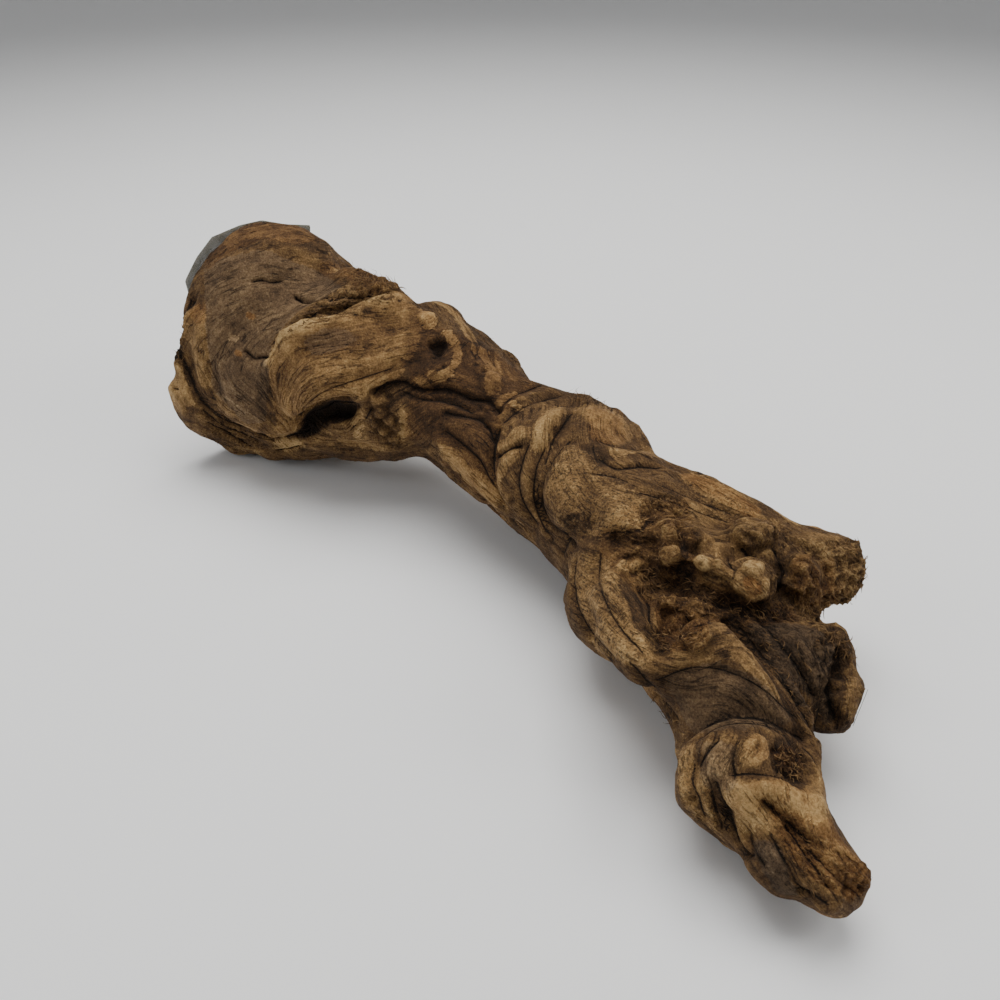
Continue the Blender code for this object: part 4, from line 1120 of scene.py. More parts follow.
def grain_across(skin, run, seen):
    """Distance across the fibres, in metres: the number at each vertex whose steps along the skin's edges
    best match the steps square to the fibres, found by conjugate gradients. Hidden faces that look down weigh
    little, so what doesn't close round the trunk is lost there."""
    across = np.cross(skin.normals, run)
    one, two = skin.edges.T
    step = skin.places[two] - skin.places[one]
    goal = np.einsum("ek,ek->e", step, across[one] + across[two]) / 2
    agree = np.clip(np.einsum("ek,ek->e", across[one], across[two]), 0, 1)
    under = np.clip((-0.35 - skin.normals[:, 2]) * 4, 0, 1) * ~seen
    weight = (0.02 + agree**4) * (1 - 0.97 * np.maximum(under[one], under[two]))

    def gathered(flow):
        return np.bincount(two, flow, skin.count) - np.bincount(one, flow, skin.count)

    rest = gathered(weight * goal)
    scale = 1 / np.maximum(np.bincount(one, weight, skin.count) + np.bincount(two, weight, skin.count), 1e-9)
    result = np.zeros(skin.count)
    rest -= rest.mean()
    search = scale * rest
    power = rest @ search
    for _ in range(MOST_ROUNDS):
        pushed = gathered(weight * (search[two] - search[one]))
        stride = power / (search @ pushed + 1e-30)
        result += stride * search
        rest -= stride * pushed
        eased = scale * rest
        new_power = rest @ eased
        if new_power < 1e-16:
            break
        search = eased + new_power / power * search
        power = new_power
    return result


# What every piece needs

def placed(name, data):
    """A new object in the scene."""
    piece = bpy.data.objects.new(name, data)
    bpy.context.scene.collection.objects.link(piece)
    return piece


def smooth_mesh(name, places, faces, material):
    """A smooth mesh of places and faces, with one material."""
    mesh = bpy.data.meshes.new(name)
    mesh.from_pydata(places.tolist(), [], faces)
    mesh.polygons.foreach_set("use_smooth", np.ones(len(faces), dtype=bool))
    mesh.materials.append(material)
    return mesh


def keep_numbers(mesh, name, values):
    """A number for each vertex, kept in the mesh under a name for a material to read."""
    layer = mesh.attributes.new(name, "FLOAT", "POINT")
    layer.data.foreach_set("value", values.astype(np.float32))


def ring_faces(first, rings, around):
    """The four-sided faces between rings of points, each ring with as many points round it. First is the
    first point's number, or one for each of many tubes."""
    ring = np.reshape(first, (-1, 1, 1)) + np.arange(rings - 1)[:, None] * around
    step = np.arange(around)
    after = (step + 1) % around
    corners = (ring + step, ring + around + step, ring + around + after, ring + after)
    return np.stack(corners, axis=-1).reshape(-1, 4)


# The wood

class Carving:
    """The wood's surface while it is carved: each vertex's rise, its depth in a valley, which is painted as
    shade, the knot that it belongs to and the colour laid on it."""

    def __init__(self, skin):
        self.skin = skin
        self.tree = skin.tree()
        self.pixels, self.seen = seen_pixels(skin)
        self.hidden = skin.soften((~self.seen).astype(float), HIDDEN_ROUNDS)
        self.run = grain_run(skin, self.tree)
        self.across = grain_across(skin, self.run, self.seen)
        self.base = skin.places.copy()
        self.rise = np.zeros(skin.count)
        self.valley_shade = np.zeros(skin.count)
        self.rough = np.zeros(skin.count)
        self.ring = np.ones(skin.count)
        self.ring_share = np.zeros(skin.count)
        self.marks = {}
        for channel in CHANNELS:
            self.marks[channel] = np.zeros(skin.count)
            self.marks[channel + "_amount"] = np.zeros(skin.count)

    def share_of(self, outline, rounds):
        """How far each vertex belongs to a patch outlined in the view, softened over its neighbours."""
        return self.skin.soften((inside(outline, self.pixels) & self.seen).astype(float), rounds)

    def stretched(self, along, across):
        """Places for noise that is drawn out along the fibres: one size along them and one across, in mm."""
        return np.column_stack((self.base / (along * MM), self.across / (across * MM)))

    def noise(self, size, seed):
        """Soft noise of a size in mm."""
        return cloud(self.base / (size * MM), seed)

    # A valley's depth, which the material paints as shade in the hollow.
    def deepen_shade(self, near, depth):
        self.valley_shade[near] = np.maximum(self.valley_shade[near], depth)

    def cut_lines(self):
        """The folds and lapped edges, along their lines."""
        folds = [
            (rise, max(width, NARROWEST_FOLD), seen_line(self.tree, line), DEEP_FOLD)
            for rise, width, line in FOLDS
        ]
        folds += [
            (rise, width, hidden_line(self.tree, places, side), DEEP_BACK_FOLD)
            for rise, width, side, places in BACK_FOLDS
        ]
        for rise, width, line, deep in folds:
            near, lift = fold_rise(self.skin, line, rise * MM, width * MM)
            self.rise[near] += lift
            self.deepen_shade(near, np.clip(-lift / (deep * MM), 0, 1))
        for rise, reach, line in STEPS:
            near, lift = step_rise(self.skin, seen_line(self.tree, line), rise * MM, reach * MM)
            self.rise[near] += lift

    def cut_knots(self):
        """The knots. The material's rings are those of the knot that holds the largest share of a vertex."""
        for knot in KNOTS:
            near, lift, gap, radius = knot_rise(self.skin, self.tree, knot)
            self.rise[near] += lift
            share = np.clip(1.7 - gap / radius, 0, 1)
            larger = (gap / radius < 4 * self.ring[near]) & (share > self.ring_share[near])
            self.ring[near[larger]] = gap[larger] / MM
            self.ring_share[near[larger]] = share[larger]
            # Painted shade in the groove round a deep knot's foot.
            if knot[KNOT_GROOVE] > DARK_GROOVE:
                self.deepen_shade(near, 0.8 * np.exp(-((gap - 1.15 * radius) / (0.28 * radius)) ** 2))

    def cut_holes(self):
        """Insect holes: round dips, painted in shade."""
        for px, py, radius, depth in HOLES:
            near, gap, facing = round_spot(self.skin, self.tree, px, py, 3 * radius * MM)
            dip = np.exp(-(gap / (max(radius, NARROWEST_HOLE) * MM)) ** 2) * facing
            self.rise[near] -= 0.6 * depth * MM * dip
            self.deepen_shade(near, 1.6 * dip)

    def roughen(self):
        """The rough fields: torn ridges, crumbs, or strands of bark along the fibres, with painted shade in
        their clefts.
        """
        crumb_cleft_shade = np.zeros(self.skin.count)
        for grain, strength, kind, outline in ROUGH_FIELDS:
            share = self.share_of(outline, FIELD_ROUNDS)
            field = np.flatnonzero(share > 0.01)
            spots = self.base[field] / (grain * MM)
            if kind == "fibres":
                spots = self.stretched(BARK_STRAND, 0.55 * grain)[field]
            lump = crags(spots, 50)
            if kind == "clods":
                lump = 0.7 * lump + 0.5 * (clods(spots * 0.8 + 0.4 * lump[:, None], 60) - 0.6)
            self.rise[field] += strength * MM * share[field] * lump
            crumb_cleft_shade[field] = np.maximum(crumb_cleft_shade[field], share[field] * np.clip(0.15 - lump, 0, 1))
            self.rough = np.maximum(self.rough, share * min(strength / FULL_ROUGH, 1))
        self.valley_shade = np.maximum(self.valley_shade, crumb_cleft_shade * 0.9)

    def weather(self):
        """What sandblasting leaves everywhere: strands along the fibres, pits, and cracks where the wood has
        dried, with painted shade in the cracks. It is stronger on the sides that the view doesn't see and
        weaker on knots."""
        calm = 1 - 0.85 * np.clip(self.ring_share, 0, 1)
        for height, along, across, seed, more in STRANDS:
            strands = cloud(self.stretched(along, across), seed)
            self.rise += height * MM * strands * calm * (1 + more * self.hidden)
        height, size, seed = LUMPS
        self.rise += height * MM * self.noise(size, seed)
        depth, size, seed = PITS
        pits = np.clip(self.noise(size, seed) - 0.55, 0, 1) * 2.2
        self.rise -= depth * MM * pits * (0.4 + 0.6 * self.hidden)
        depth, along, across, seed = DRYING_CRACKS
        cracks = np.clip(1 - np.abs(cloud(self.stretched(along, across), seed)) * 14, 0, 1)
        cracks *= np.clip(self.noise(*CRACK_AREAS) * 2.2 - 0.1, 0, 1)
        shown = 0.35 + 0.65 * self.hidden
        self.rise -= depth * MM * cracks * shown * calm
        self.valley_shade = np.maximum(self.valley_shade, 0.8 * cracks * shown)

    def saw(self):
        """The sawn face: flat, with drying rays from the pith, which alone carry painted shade there, and the
        growth rings round it.
        """
        off_saw = (self.base - SAW_PLACE * MM) @ SAW_OUT
        flat = (off_saw > -SAW_BAND * MM) & (self.skin.normals @ SAW_OUT > 0.75)
        sawn = self.skin.soften(flat.astype(float), 2)
        self.rise *= 1 - np.clip(1.4 * sawn, 0, 1)
        away = self.base - PITH * MM
        depth, turns, seed = SAWN_RAYS
        rays = np.clip(cloud(unit(away) * turns, seed) * 3 - 0.8, 0, 1) * (self.noise(*RAY_AREAS) > -0.1)
        self.rise -= depth * MM * rays * sawn
        self.valley_shade = np.maximum(self.valley_shade * (1 - sawn), 0.7 * rays * sawn)
        self.ring = np.where(sawn > 0.3, np.linalg.norm(away, axis=1) / MM, self.ring)
        self.marks["knot_share"] = np.clip(np.maximum(0.5 * self.ring_share, 1.6 * sawn), 0, 1)

    def lay(self, channel, amount, rows, cover):
        """A cover laid on a channel: where it is the stronger one, it takes the channel's amount too."""
        stronger = cover > self.marks[channel][rows] + 0.001
        self.marks[channel][rows[stronger]] = cover[stronger]
        self.marks[channel + "_amount"][rows[stronger]] = amount

    def colour(self):
        """The patches and bands of colour, islands of them on the hidden sides, and the broad shades."""
        everywhere = np.arange(self.skin.count)
        for channel, amount, outline in PATCHES:
            self.lay(channel, amount, everywhere, self.share_of(outline, PATCH_ROUNDS))
        for channel, amount, width, line in BANDS:
            line = seen_line(self.tree, line)
            near, distance, _, facing, _ = round_line(self.skin, line, 2.4 * width * MM)
            self.lay(channel, amount, near, np.exp(-(distance / (1.2 * width * MM)) ** 2) * facing)
        along, across, seed = PALE_ISLANDS
        islands = cloud(self.stretched(along, across), seed) * self.hidden
        self.lay("pale", PALE_ISLAND_AMOUNT, everywhere, np.clip(0.2 + 1.3 * islands, 0, 1) * (islands > 0))
        rust = np.clip(1.4 * self.noise(*RUST_ISLANDS) * self.hidden, 0, 1)
        self.lay("orange", RUST_ISLAND_AMOUNT, everywhere, rust)
        shades = [amount * self.share_of(outline, SHADE_ROUNDS) for amount, outline in SHADES]
        self.marks["shade"] = sum(shades)

    def move(self):
        """The skin moved by its rise, and how hollow or how proud each vertex then is. The hollows and
        valleys are painted shade.
        """
        skin = self.skin
        skin.places = self.base + unit(skin.soften(skin.normals, 3)) * self.rise[:, None]
        skin.places = skin.soften(skin.places, 1, 0.18)
        skin.update()
        inward = skin.soften(skin.places, 10) - skin.places
        bent = np.einsum("vk,vk->v", inward, skin.normals) / (0.9 * MM)
        inward = skin.soften(skin.places, 2) - skin.places
        fine = np.einsum("vk,vk->v", inward, skin.normals) / (0.22 * MM)
        curved = 0.6 * np.clip(bent, 0, 1) + 0.3 * np.clip(fine, 0, 1)
        # Painted shade in the hollows: the valleys, and where the skin bends inward.
        self.marks["hollow"] = np.clip(np.maximum(self.valley_shade, curved), 0, 1)
        self.marks["crest"] = np.clip(-0.7 * bent - 0.3 * fine, 0, 1)


def carve(skin):
    """The wood's whole surface: lines first, then knots and holes, roughness, weathering, the sawn face and
    the colours. It gives the numbers that the material reads, and the way the fibres run."""
    carving = Carving(skin)
    carving.cut_lines()
    carving.cut_knots()
    carving.cut_holes()
    carving.roughen()
    carving.weather()
    carving.saw()
    carving.colour()
    cracks = crack_marks(skin, carving.tree)
    carving.move()
    grain = {"grain_across": carving.across / MM, "knot_ring": carving.ring, "rough": carving.rough}
    return {**carving.marks, **cracks, **grain}, carving.run


def keep_in_box(places):
    """Places held inside the solids' own box."""
    low, high = (np.array(corner) for corner in cad_box)
    return np.clip(places, low + BOX_EDGE, high - BOX_EDGE)


def make_wood():
    """The trunk: its carved skin, with what the material needs kept on its vertices."""
    skin = wood_skin()
    marks, grain_way = carve(skin)
    mesh = skin.mesh
    mesh.name = "trunk_wood"
    mesh.vertices.foreach_set("co", keep_in_box(skin.places).ravel())
    for name, values in marks.items():
        keep_numbers(mesh, name, values)
    mesh.polygons.foreach_set("use_smooth", np.ones(len(mesh.polygons), dtype=bool))
    mesh.update()
    mesh.materials.clear()
    mesh.materials.append(wood_finish())
    wood = placed("trunk_wood", mesh)
    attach(wood, "root")
    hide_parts("vine_wood")
    return skin, grain_way


# Finishes

# Ramps of colour: (place, red, green and blue), darkest first.
VINE_BROWN = [
    (0.0, (0.018, 0.0105, 0.006)), (0.18, (0.050, 0.027, 0.0125)), (0.38, (0.100, 0.053, 0.022)),
    (0.58, (0.198, 0.109, 0.040)), (0.78, (0.36, 0.212, 0.080)), (1.0, (0.58, 0.38, 0.165)),
]
RUST = [
    (0.0, (0.014, 0.006, 0.003)), (0.3, (0.092, 0.037, 0.012)), (0.6, (0.25, 0.115, 0.034)),
    (1.0, (0.54, 0.31, 0.11)),
]
WEATHERED_GREY = [
    (0.0, (0.012, 0.008, 0.005)), (0.3, (0.066, 0.042, 0.024)), (0.6, (0.15, 0.096, 0.054)),
    (1.0, (0.38, 0.27, 0.155)),
]
FIBRE_BROWN = [
    (0.3, (0.065, 0.035, 0.016)), (0.5, (0.145, 0.080, 0.035)), (0.62, (0.25, 0.145, 0.060)),
    (0.75, (0.38, 0.235, 0.105)),
]
FILM_OLIVE = [(0.3, (0.080, 0.068, 0.036)), (0.7, (0.125, 0.108, 0.060))]
# The floor: its own pale colour, and the grey of the painted shade far off.
PALE_GROUND = [(0.0, (0.93, 0.93, 0.925)), (1.0, (0.50, 0.50, 0.50))]
DARK_SPECK = (0.040, 0.023, 0.012)
LIGHT_SPECK = (0.47, 0.31, 0.14)
FILM_SPECK = (0.02, 0.018, 0.015)


class Finish:
    """A material's nodes, added one at a time."""

    def __init__(self, name):
        self.material = bpy.data.materials.new(name)
        self.material.use_nodes = True
        self.tree = self.material.node_tree
        self.tree.nodes.clear()
        self.output = self.add("ShaderNodeOutputMaterial")
        self.shader = self.add("ShaderNodeBsdfPrincipled")
        self.tree.links.new(self.shader.outputs[0], self.output.inputs["Surface"])
        self.object_place = self.add("ShaderNodeTexCoord").outputs["Object"]

    def add(self, kind, **settings):
        node = self.tree.nodes.new(kind)
        for key, value in settings.items():
            setattr(node, key, value)
        return node

    def give(self, socket, value):
        if isinstance(value, bpy.types.NodeSocket):
            self.tree.links.new(value, socket)
        else:
            socket.default_value = value

    def maths(self, operation, *values, clamp=False):
        node = self.add("ShaderNodeMath", operation=operation, use_clamp=clamp)
        for socket, value in zip(node.inputs, values):
            self.give(socket, value)
        return node.outputs[0]

    def scaled_place(self, factor):
        node = self.add("ShaderNodeVectorMath", operation="SCALE")
        self.give(node.inputs[0], self.object_place)
        node.inputs["Scale"].default_value = factor
        return node.outputs[0]

    def noise(self, per_metre, detail=2.0, rough=0.5, warp=0.0):
        node = self.add("ShaderNodeTexNoise", noise_dimensions="3D")
        self.give(node.inputs["Vector"], self.object_place)
        node.inputs["Scale"].default_value = per_metre
        node.inputs["Detail"].default_value = detail
        node.inputs["Roughness"].default_value = rough
        node.inputs["Distortion"].default_value = warp
        return node.outputs["Fac"]

    def strands(self, along_per_metre, across, detail=2.0, rough=0.5):
        """Noise drawn out along the fibres: slow over the place, quick over the distance across the grain."""
        node = self.add("ShaderNodeTexNoise", noise_dimensions="4D")
        self.give(node.inputs["Vector"], self.scaled_place(along_per_metre))
        self.give(node.inputs["W"], across)
        node.inputs["Scale"].default_value = 1.0
        node.inputs["Detail"].default_value = detail
        node.inputs["Roughness"].default_value = rough
        return node.outputs["Fac"]

    def mark(self, name):
        return self.add("ShaderNodeAttribute", attribute_name=name).outputs["Fac"]

    def ease(self, value, low, high, to_low=0.0, to_high=1.0):
        """A value's rise from low to high, smoothed and clamped."""
        node = self.add("ShaderNodeMapRange", interpolation_type="SMOOTHSTEP")
        self.give(node.inputs["Value"], value)
        for name, number in (("From Min", low), ("From Max", high), ("To Min", to_low), ("To Max", to_high)):
            self.give(node.inputs[name], number)
        return node.outputs[0]

    def mix(self, share, one, two, blend="MIX"):
        node = self.add("ShaderNodeMix", data_type="RGBA", blend_type=blend)
        self.give(node.inputs[0], share)
        self.give(node.inputs[6], one)
        self.give(node.inputs[7], two)
        return node.outputs[2]

    def ramp(self, value, stops):
        node = self.add("ShaderNodeValToRGB")
        self.give(node.inputs[0], value)
        elements = node.color_ramp.elements
        while len(elements) < len(stops):
            elements.new(0.5)
        for element, (place, colour) in zip(elements, stops):
            element.position = place
            element.color = (*colour, 1)
        return node.outputs[0]

    def bump(self, height, depth, strength=1.0, under=None):
        node = self.add("ShaderNodeBump")
        node.inputs["Strength"].default_value = strength
        node.inputs["Distance"].default_value = depth
        self.give(node.inputs["Height"], height)
        if under is not None:
            self.give(node.inputs["Normal"], under)
        return node.outputs[0]


def wood_finish():
    """Sandblasted vine: tan crests over brown, painted shade in clefts and hollows, fine strands, rings on
    knots, rust and flecks.
    """
    finish = Finish("sandblasted_vine")
    maths, mark, ease = finish.maths, finish.mark, finish.ease

    def centred(value, amount):
        """A noise moved so that its middle is nought, times an amount."""
        return maths("MULTIPLY", maths("SUBTRACT", value, 0.5), amount)

    def added(*values):
        total = values[0]
        for value in values[1:]:
            total = maths("ADD", total, value)
        return total

    across = mark("grain_across")
    knot = mark("knot_share")
    off_knot = maths("SUBTRACT", 1.0, knot)
    fine_lines = finish.strands(42, maths("MULTIPLY", across, 0.85), 3.0, 0.62)
    broad_lines = finish.strands(26, maths("MULTIPLY", across, 0.30), 2.0, 0.5)
    ring_lines = finish.strands(90, maths("MULTIPLY", mark("knot_ring"), 0.8), 2.0, 0.55)
    lines = added(maths("MULTIPLY", fine_lines, off_knot), maths("MULTIPLY", ring_lines, knot))
    blotch = finish.noise(42, 4.0, 0.6)
    mottle = finish.noise(240, 6.0, 0.72)
    grit = finish.noise(1100, 3.0, 0.7)
    flow = finish.strands(34, maths("MULTIPLY", across, 0.42), 2.5, 0.6)
    checks = ease(maths("ABSOLUTE", maths("SUBTRACT", flow, 0.5)), 0.004, 0.026, 1.0, 0.0)
    dried = ease(finish.noise(70, 3.0, 0.6), 0.40, 0.54)
    checks = maths("MULTIPLY", maths("MULTIPLY", checks, dried), off_knot)

    # Crisp dark lines: cracks along narrow grooves, and painted shade along the lapped edges.
    cracks = 0.0
    for name in ("crack_and_lip_shade_one", "crack_and_lip_shade_two"):
        wavering = added(mark(name), centred(mottle, 2.2), centred(grit, 1.4))
        line = ease(maths("ABSOLUTE", wavering), 0.25, 1.2, 1.0, 0.0)
        cracks = maths("MAXIMUM", cracks, maths("MULTIPLY", line, mark(name + "_share")))

    cracks = maths("MULTIPLY", cracks, ease(finish.noise(95, 2.0, 0.5), 0.36, 0.52, 0.3, 1.0))
    ragged = added(centred(mottle, 1.15), centred(flow, 0.70), centred(lines, 0.40), centred(grit, 0.35))
    crag = maths("ABSOLUTE", centred(finish.noise(210, 6.0, 0.62, 0.35), 2.0))
    rough = mark("rough")
    # Painted shade in the clefts of the rough fields.
    cleft_shade = maths("MULTIPLY", ease(crag, 0.0, 0.13, 1.0, 0.0), rough)

    def torn(name):
        """A mark with a torn border: its cover and a ragged noise cut off steeply, times its amount."""
        cover = mark(name)
        present = ease(cover, 0.04, 0.22)
        edge = ease(added(cover, ragged), 0.36, 0.60)
        return maths("MULTIPLY", maths("MULTIPLY", edge, present), mark(name + "_amount"))

    fleck = torn("fleck")
    tone = added(
        0.405, centred(blotch, 0.55), centred(lines, 0.50), centred(broad_lines, 0.34), centred(mottle, 0.80),
        centred(grit, 0.85), maths("MULTIPLY", torn("pale"), 0.44), maths("MULTIPLY", mark("crest"), 0.16),
        maths("MULTIPLY", mark("shade"), 0.5),
    )
    # What darkens the tone: drying checks, the dark patches, painted shade in hollows and clefts, and crack
    # lines with painted shade along lapped edges.
    darker = ((checks, 0.24), (torn("dark"), 0.34), (mark("hollow"), 0.18), (cracks, 0.5), (cleft_shade, 0.24))
    for value, amount in darker:
        tone = maths("SUBTRACT", tone, maths("MULTIPLY", value, amount))
    colour = finish.ramp(tone, VINE_BROWN)
    colour = finish.mix(torn("grey"), colour, finish.ramp(tone, WEATHERED_GREY))
    colour = finish.mix(torn("orange"), colour, finish.ramp(tone, RUST))
    speck = maths("MULTIPLY", ease(finish.noise(850, 2.0, 0.6), 0.52, 0.62), added(0.25, fleck), clamp=True)
    colour = finish.mix(maths("MULTIPLY", speck, 0.72), colour, (*DARK_SPECK, 1))
    light = ease(finish.noise(740, 2.0, 0.6, 0.4), 0.60, 0.70)
    light = maths("MULTIPLY", light, added(0.15, fleck), clamp=True)
    colour = finish.mix(maths("MULTIPLY", light, 0.30), colour, (*LIGHT_SPECK, 1))
    finish.give(finish.shader.inputs["Base Color"], colour)
    finish.give(finish.shader.inputs["Roughness"], ease(tone, 0.1, 0.9, 0.95, 0.68))
    finish.shader.inputs["Specular IOR Level"].default_value = 0.22
    height = added(lines, maths("MULTIPLY", broad_lines, 0.6))
    for value, amount in ((checks, 0.9), (cracks, 1.6)):
        height = maths("SUBTRACT", height, maths("MULTIPLY", value, amount))
    height = added(height, maths("MULTIPLY", maths("MULTIPLY", crag, rough), 3.0))
    relief = finish.bump(height, 0.0014, 1.0)
    relief = finish.bump(added(mottle, maths("MULTIPLY", grit, 0.6)), 0.0020, 1.0, relief)
    finish.give(finish.shader.inputs["Normal"], relief)
    return finish.material


def film_finish():
    """Thin cloudy film: greyish olive, cloudy at its rim and clearer in its middle, with dark specks."""
    finish = Finish("cloudy_film")
    cloudy = finish.noise(60, 3.0, 0.6)
    speck = finish.ease(finish.noise(900, 1.0, 0.5), 0.68, 0.72)
    colour = finish.mix(speck, finish.ramp(cloudy, FILM_OLIVE), (*FILM_SPECK, 1))
    finish.give(finish.shader.inputs["Base Color"], colour)
    to_rim = finish.ease(finish.mark("rim_share"), 0.45, 0.9, 0.4)
    dusty = finish.maths("MULTIPLY", finish.ease(cloudy, 0.2, 0.8, 0.66, 0.82), to_rim)
    finish.give(finish.shader.inputs["Alpha"], finish.maths("MAXIMUM", dusty, speck))
    finish.shader.inputs["Roughness"].default_value = 0.5
    finish.shader.inputs["Specular IOR Level"].default_value = 0.2
    finish.give(finish.shader.inputs["Normal"], finish.bump(finish.noise(160, 2.0, 0.5), 0.0006, 0.5))
    return finish.material


def ground_finish():
    """A matt pale floor with a faint mottle, and painted shade that makes it darker far off."""
    finish = Finish("pale_ground")
    reach = finish.add("ShaderNodeVectorMath", operation="LENGTH")
    finish.give(reach.inputs[0], finish.object_place)
    far = finish.ease(reach.outputs["Value"], 0.6, 1.9, 0.0, 0.9)
    far_shade = finish.maths("ADD", far, finish.maths("MULTIPLY", finish.noise(14, 2.0, 0.5), 0.03))
    finish.give(finish.shader.inputs["Base Color"], finish.ramp(far_shade, PALE_GROUND))
    finish.shader.inputs["Roughness"].default_value = 0.9
    return finish.material


def fibre_finish():
    """Torn fibres: matt red-brown, some of them dark and some tan."""
    finish = Finish("torn_fibre")
    finish.give(finish.shader.inputs["Base Color"], finish.ramp(finish.noise(320, 3.0, 0.6), FIBRE_BROWN))
    finish.shader.inputs["Roughness"].default_value = 0.9
    finish.shader.inputs["Specular IOR Level"].default_value = 0.2
    return finish.material


# Torn fibres

def shred_roots(skin, run):
    """Where the torn fibres grow: chance pixels inside each tuft's outline, laid on the skin, with the way
    the skin faces, the way the grain runs, and each fibre's own length, half width and lift."""
    tree = skin.tree()
    chance = np.random.default_rng(SHRED_SEED)
    rows = []
    for count, length, width, lift, outline in TUFTS:
        corners = np.array(outline, dtype=float)
        spots = chance.uniform(corners.min(axis=0), corners.max(axis=0), (SHRED_TRIES * count, 2))
        spots = spots[inside(outline, spots)][:count]
        for px, py in spots:
            place, normal, face, _ = tree.ray_cast(VIEW_EYE, view_ray(px, py))
            if place is None:
                continue
            own_length = length * chance.uniform(*SHRED_SIZES) * MM
            own_width = width * chance.uniform(*SHRED_WIDTHS) * MM
            own_lift = lift * chance.uniform(*SHRED_LIFTS)
            along = run[skin.triangles[face, 0]]
            rows.append((*place, *normal, *along, own_length, own_width, own_lift))
    return np.array(rows), chance


def make_shreds(skin, run):
    """Torn fibres: each is a thin three-sided rod. Its middle line leaves the skin along the grain, lifts by
    a power of the share of its length and sways by a sine. Its half width shrinks to a point."""
    rows, chance = shred_roots(skin, run)
    root, up, along = rows[:, :3], unit(rows[:, 3:6]), unit(rows[:, 6:9])
    length, width, lift = rows[:, 9:].T
    across = unit(np.cross(up, along))
    turn = chance.normal(0, SHRED_TURN, len(rows))
    flip = np.where(chance.random(len(rows)) < 0.5, -1.0, 1.0)
    way = flip[:, None] * (np.cos(turn)[:, None] * along + np.sin(turn)[:, None] * across)
    side = unit(np.cross(up, way))
    sway = chance.normal(0, SHRED_SWAY, len(rows))
    phase = chance.uniform(0, SHRED_PHASES, len(rows))
    share = np.linspace(0, 1, SHRED_STATIONS)
    forward = (share[None] - SHRED_BEHIND) * length[:, None]
    raised = (lift[:, None] * share[None] ** SHRED_LIFT_POWER - SHRED_UNDER) * length[:, None]
    swayed = (sway * length)[:, None] * np.sin(phase[:, None] + SHRED_WAVE * share[None])
    swayed -= swayed[:, :1]
    centre = (
        root[:, None] + forward[..., None] * way[:, None] + raised[..., None] * up[:, None]
        + swayed[..., None] * side[:, None]
    )
    half = width[:, None] * (1 - share[None] ** SHRED_TAPER_POWER) + SHRED_POINT
    angle = np.array(SHRED_CORNERS)
    ring = (
        half[..., None, None] * (np.cos(angle)[None, None, :, None] * side[:, None, None])
        + SHRED_FLATNESS * half[..., None, None] * (np.sin(angle)[None, None, :, None] * up[:, None, None])
    )
    places = (centre[:, :, None] + ring).reshape(-1, 3)
    start = np.arange(len(rows)) * SHRED_STATIONS * len(angle)
    end = start + (SHRED_STATIONS - 1) * len(angle)
    faces = ring_faces(start, SHRED_STATIONS, len(angle)).tolist()
    faces += np.stack((start, start + 1, start + 2), axis=1).tolist()
    faces += np.stack((end + 2, end + 1, end), axis=1).tolist()
    mesh = smooth_mesh("torn_fibres", keep_in_box(places), faces, fibre_finish())
    work = bmesh.new()
    work.from_mesh(mesh)
    bmesh.ops.recalc_face_normals(work, faces=work.faces)
    work.to_mesh(mesh)
    work.free()
    shreds = placed("torn_fibres", mesh)
    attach(shreds, "root")


# The films

def film_outline(flat):
    """A flat sheet's corners, in order round its middle, joined and spread at an even spacing."""
    angle = np.arctan2(flat[:, 1], flat[:, 0])
    order = np.argsort(angle)
    corners = flat[order][np.unique(np.round(angle[order], 3), return_index=True)[1]]
    closed = np.vstack((corners, corners[:1]))
    length = np.concatenate(([0], np.cumsum(np.linalg.norm(np.diff(closed, axis=0), axis=1))))
    at = np.linspace(0, length[-1], FILM_AROUND, endpoint=False)
    return np.stack([np.interp(at, length, closed[:, axis]) for axis in range(2)], axis=1)


def make_film(name, node, wave):
    """A film: rings of points from its middle to the node's own outline, the ring's share from nought to one
    and the angle as the two parameters, moved off its plane by soft waves and given a thickness."""
    solid = Skin(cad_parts[node].data)
    middle = solid.places.mean(axis=0)
    across, up, out = np.linalg.svd(solid.places - middle, full_matrices=False)[2]
    if out[0] < 0 and node == "end_film":
        out = -out
    rim = FILM_INSET * film_outline((solid.places - middle) @ np.stack((across, up), axis=1))
    share = np.arange(1, FILM_RINGS + 1) / FILM_RINGS
    grid = np.vstack(((0, 0), (share[:, None, None] * rim[None]).reshape(-1, 2)))
    lift = wave * cloud(np.column_stack((grid / FILM_WAVE_LENGTH, np.zeros(len(grid)))), FILM_SEED)
    places = middle + grid[:, :1] * across + grid[:, 1:] * up + lift[:, None] * out
    step = np.arange(FILM_AROUND)
    after = (step + 1) % FILM_AROUND
    faces = np.stack((0 * step, 1 + step, 1 + after), axis=1).tolist()
    faces += ring_faces(1, FILM_RINGS, FILM_AROUND).tolist()
    mesh = smooth_mesh(name, keep_in_box(places), faces, film_finish())
    keep_numbers(mesh, "rim_share", np.append(0, np.repeat(share, FILM_AROUND)))
    film = placed(name, mesh)
    thick = film.modifiers.new("thickness", "SOLIDIFY")
    thick.thickness = FILM_THICKNESS
    thick.offset = 0
    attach(film, "root")
    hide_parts(node)


# The setting

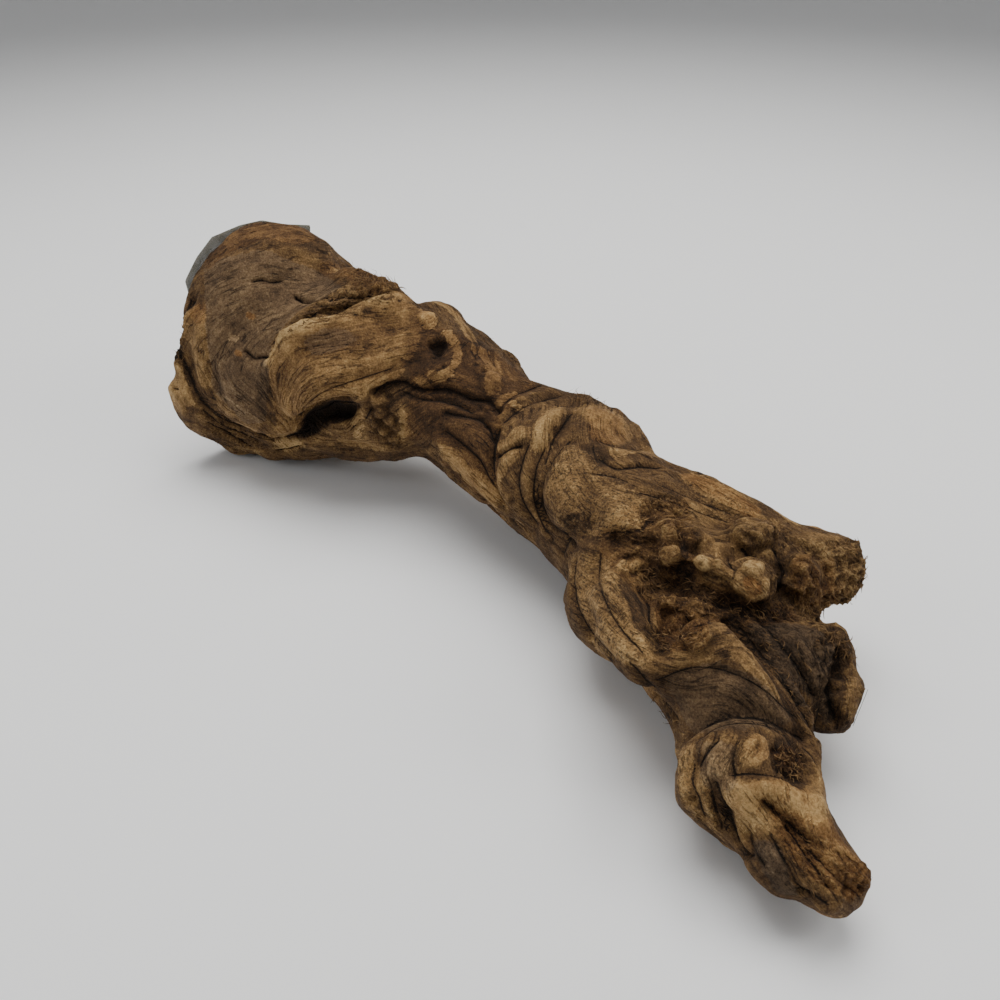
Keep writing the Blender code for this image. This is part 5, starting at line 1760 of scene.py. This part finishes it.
def make_ground():
    """A round pale floor that curves up into a wall: the radius and the angle as parameters, and the height a
    quarter circle past the flat part."""
    turn = np.linspace(0, math.pi / 2, GROUND_BEND_RINGS)[1:]
    flat = np.linspace(GROUND_MIDDLE, GROUND_FLAT, GROUND_RINGS)
    radius = np.concatenate((flat, GROUND_FLAT + GROUND_BEND * np.sin(turn), [GROUND_FLAT + GROUND_BEND]))
    height = np.concatenate((0 * flat, GROUND_BEND * (1 - np.cos(turn)), [GROUND_TOP])) - GROUND_SINK
    angle = np.arange(GROUND_SIDES) * 2 * math.pi / GROUND_SIDES
    places = np.stack(np.broadcast_arrays(
        radius[:, None] * np.cos(angle), radius[:, None] * np.sin(angle), height[:, None]
    ), axis=-1).reshape(-1, 3)
    faces = ring_faces(0, len(radius), GROUND_SIDES).tolist() + [list(range(GROUND_SIDES))]
    ground = placed("ground", smooth_mesh("ground", places, faces, ground_finish()))


def make_light():
    """Soft light from all sides, and large lamps round the wood that face its middle."""
    world = bpy.data.worlds.new("soft_light")
    world.use_nodes = True
    sky = world.node_tree.nodes["Background"]
    sky.inputs["Color"].default_value = (*SKY_COLOUR, 1)
    sky.inputs["Strength"].default_value = SKY_STRENGTH
    bpy.context.scene.world = world
    away = (view_ray(VIEW_CENTRE_PX, VIEW_CENTRE_PX) * Vector((1, 1, 0))).normalized()
    side = away.cross(Vector((0, 0, 1)))
    for name, (right, far, height), size, power, colour in LAMPS:
        data = bpy.data.lights.new(name, "AREA")
        data.shape = "SQUARE"
        data.size = size
        data.energy = power
        data.color = colour
        lamp = placed(name, data)
        lamp.location = right * side + far * away + Vector((0, 0, height))
        lamp.rotation_euler = (LAMP_AIM - lamp.location).to_track_quat("-Z", "Y").to_euler()


make_camera()
make_ground()
make_light()
wood, grain_way = make_wood()
make_shreds(wood, grain_way)
make_film("big_end_film", "end_film", END_FILM_WAVE)
make_film("stub_end_film", "stub_film", STUB_FILM_WAVE)

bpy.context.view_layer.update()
print("wood", wood.count, "vertices", len(wood.triangles), "triangles")
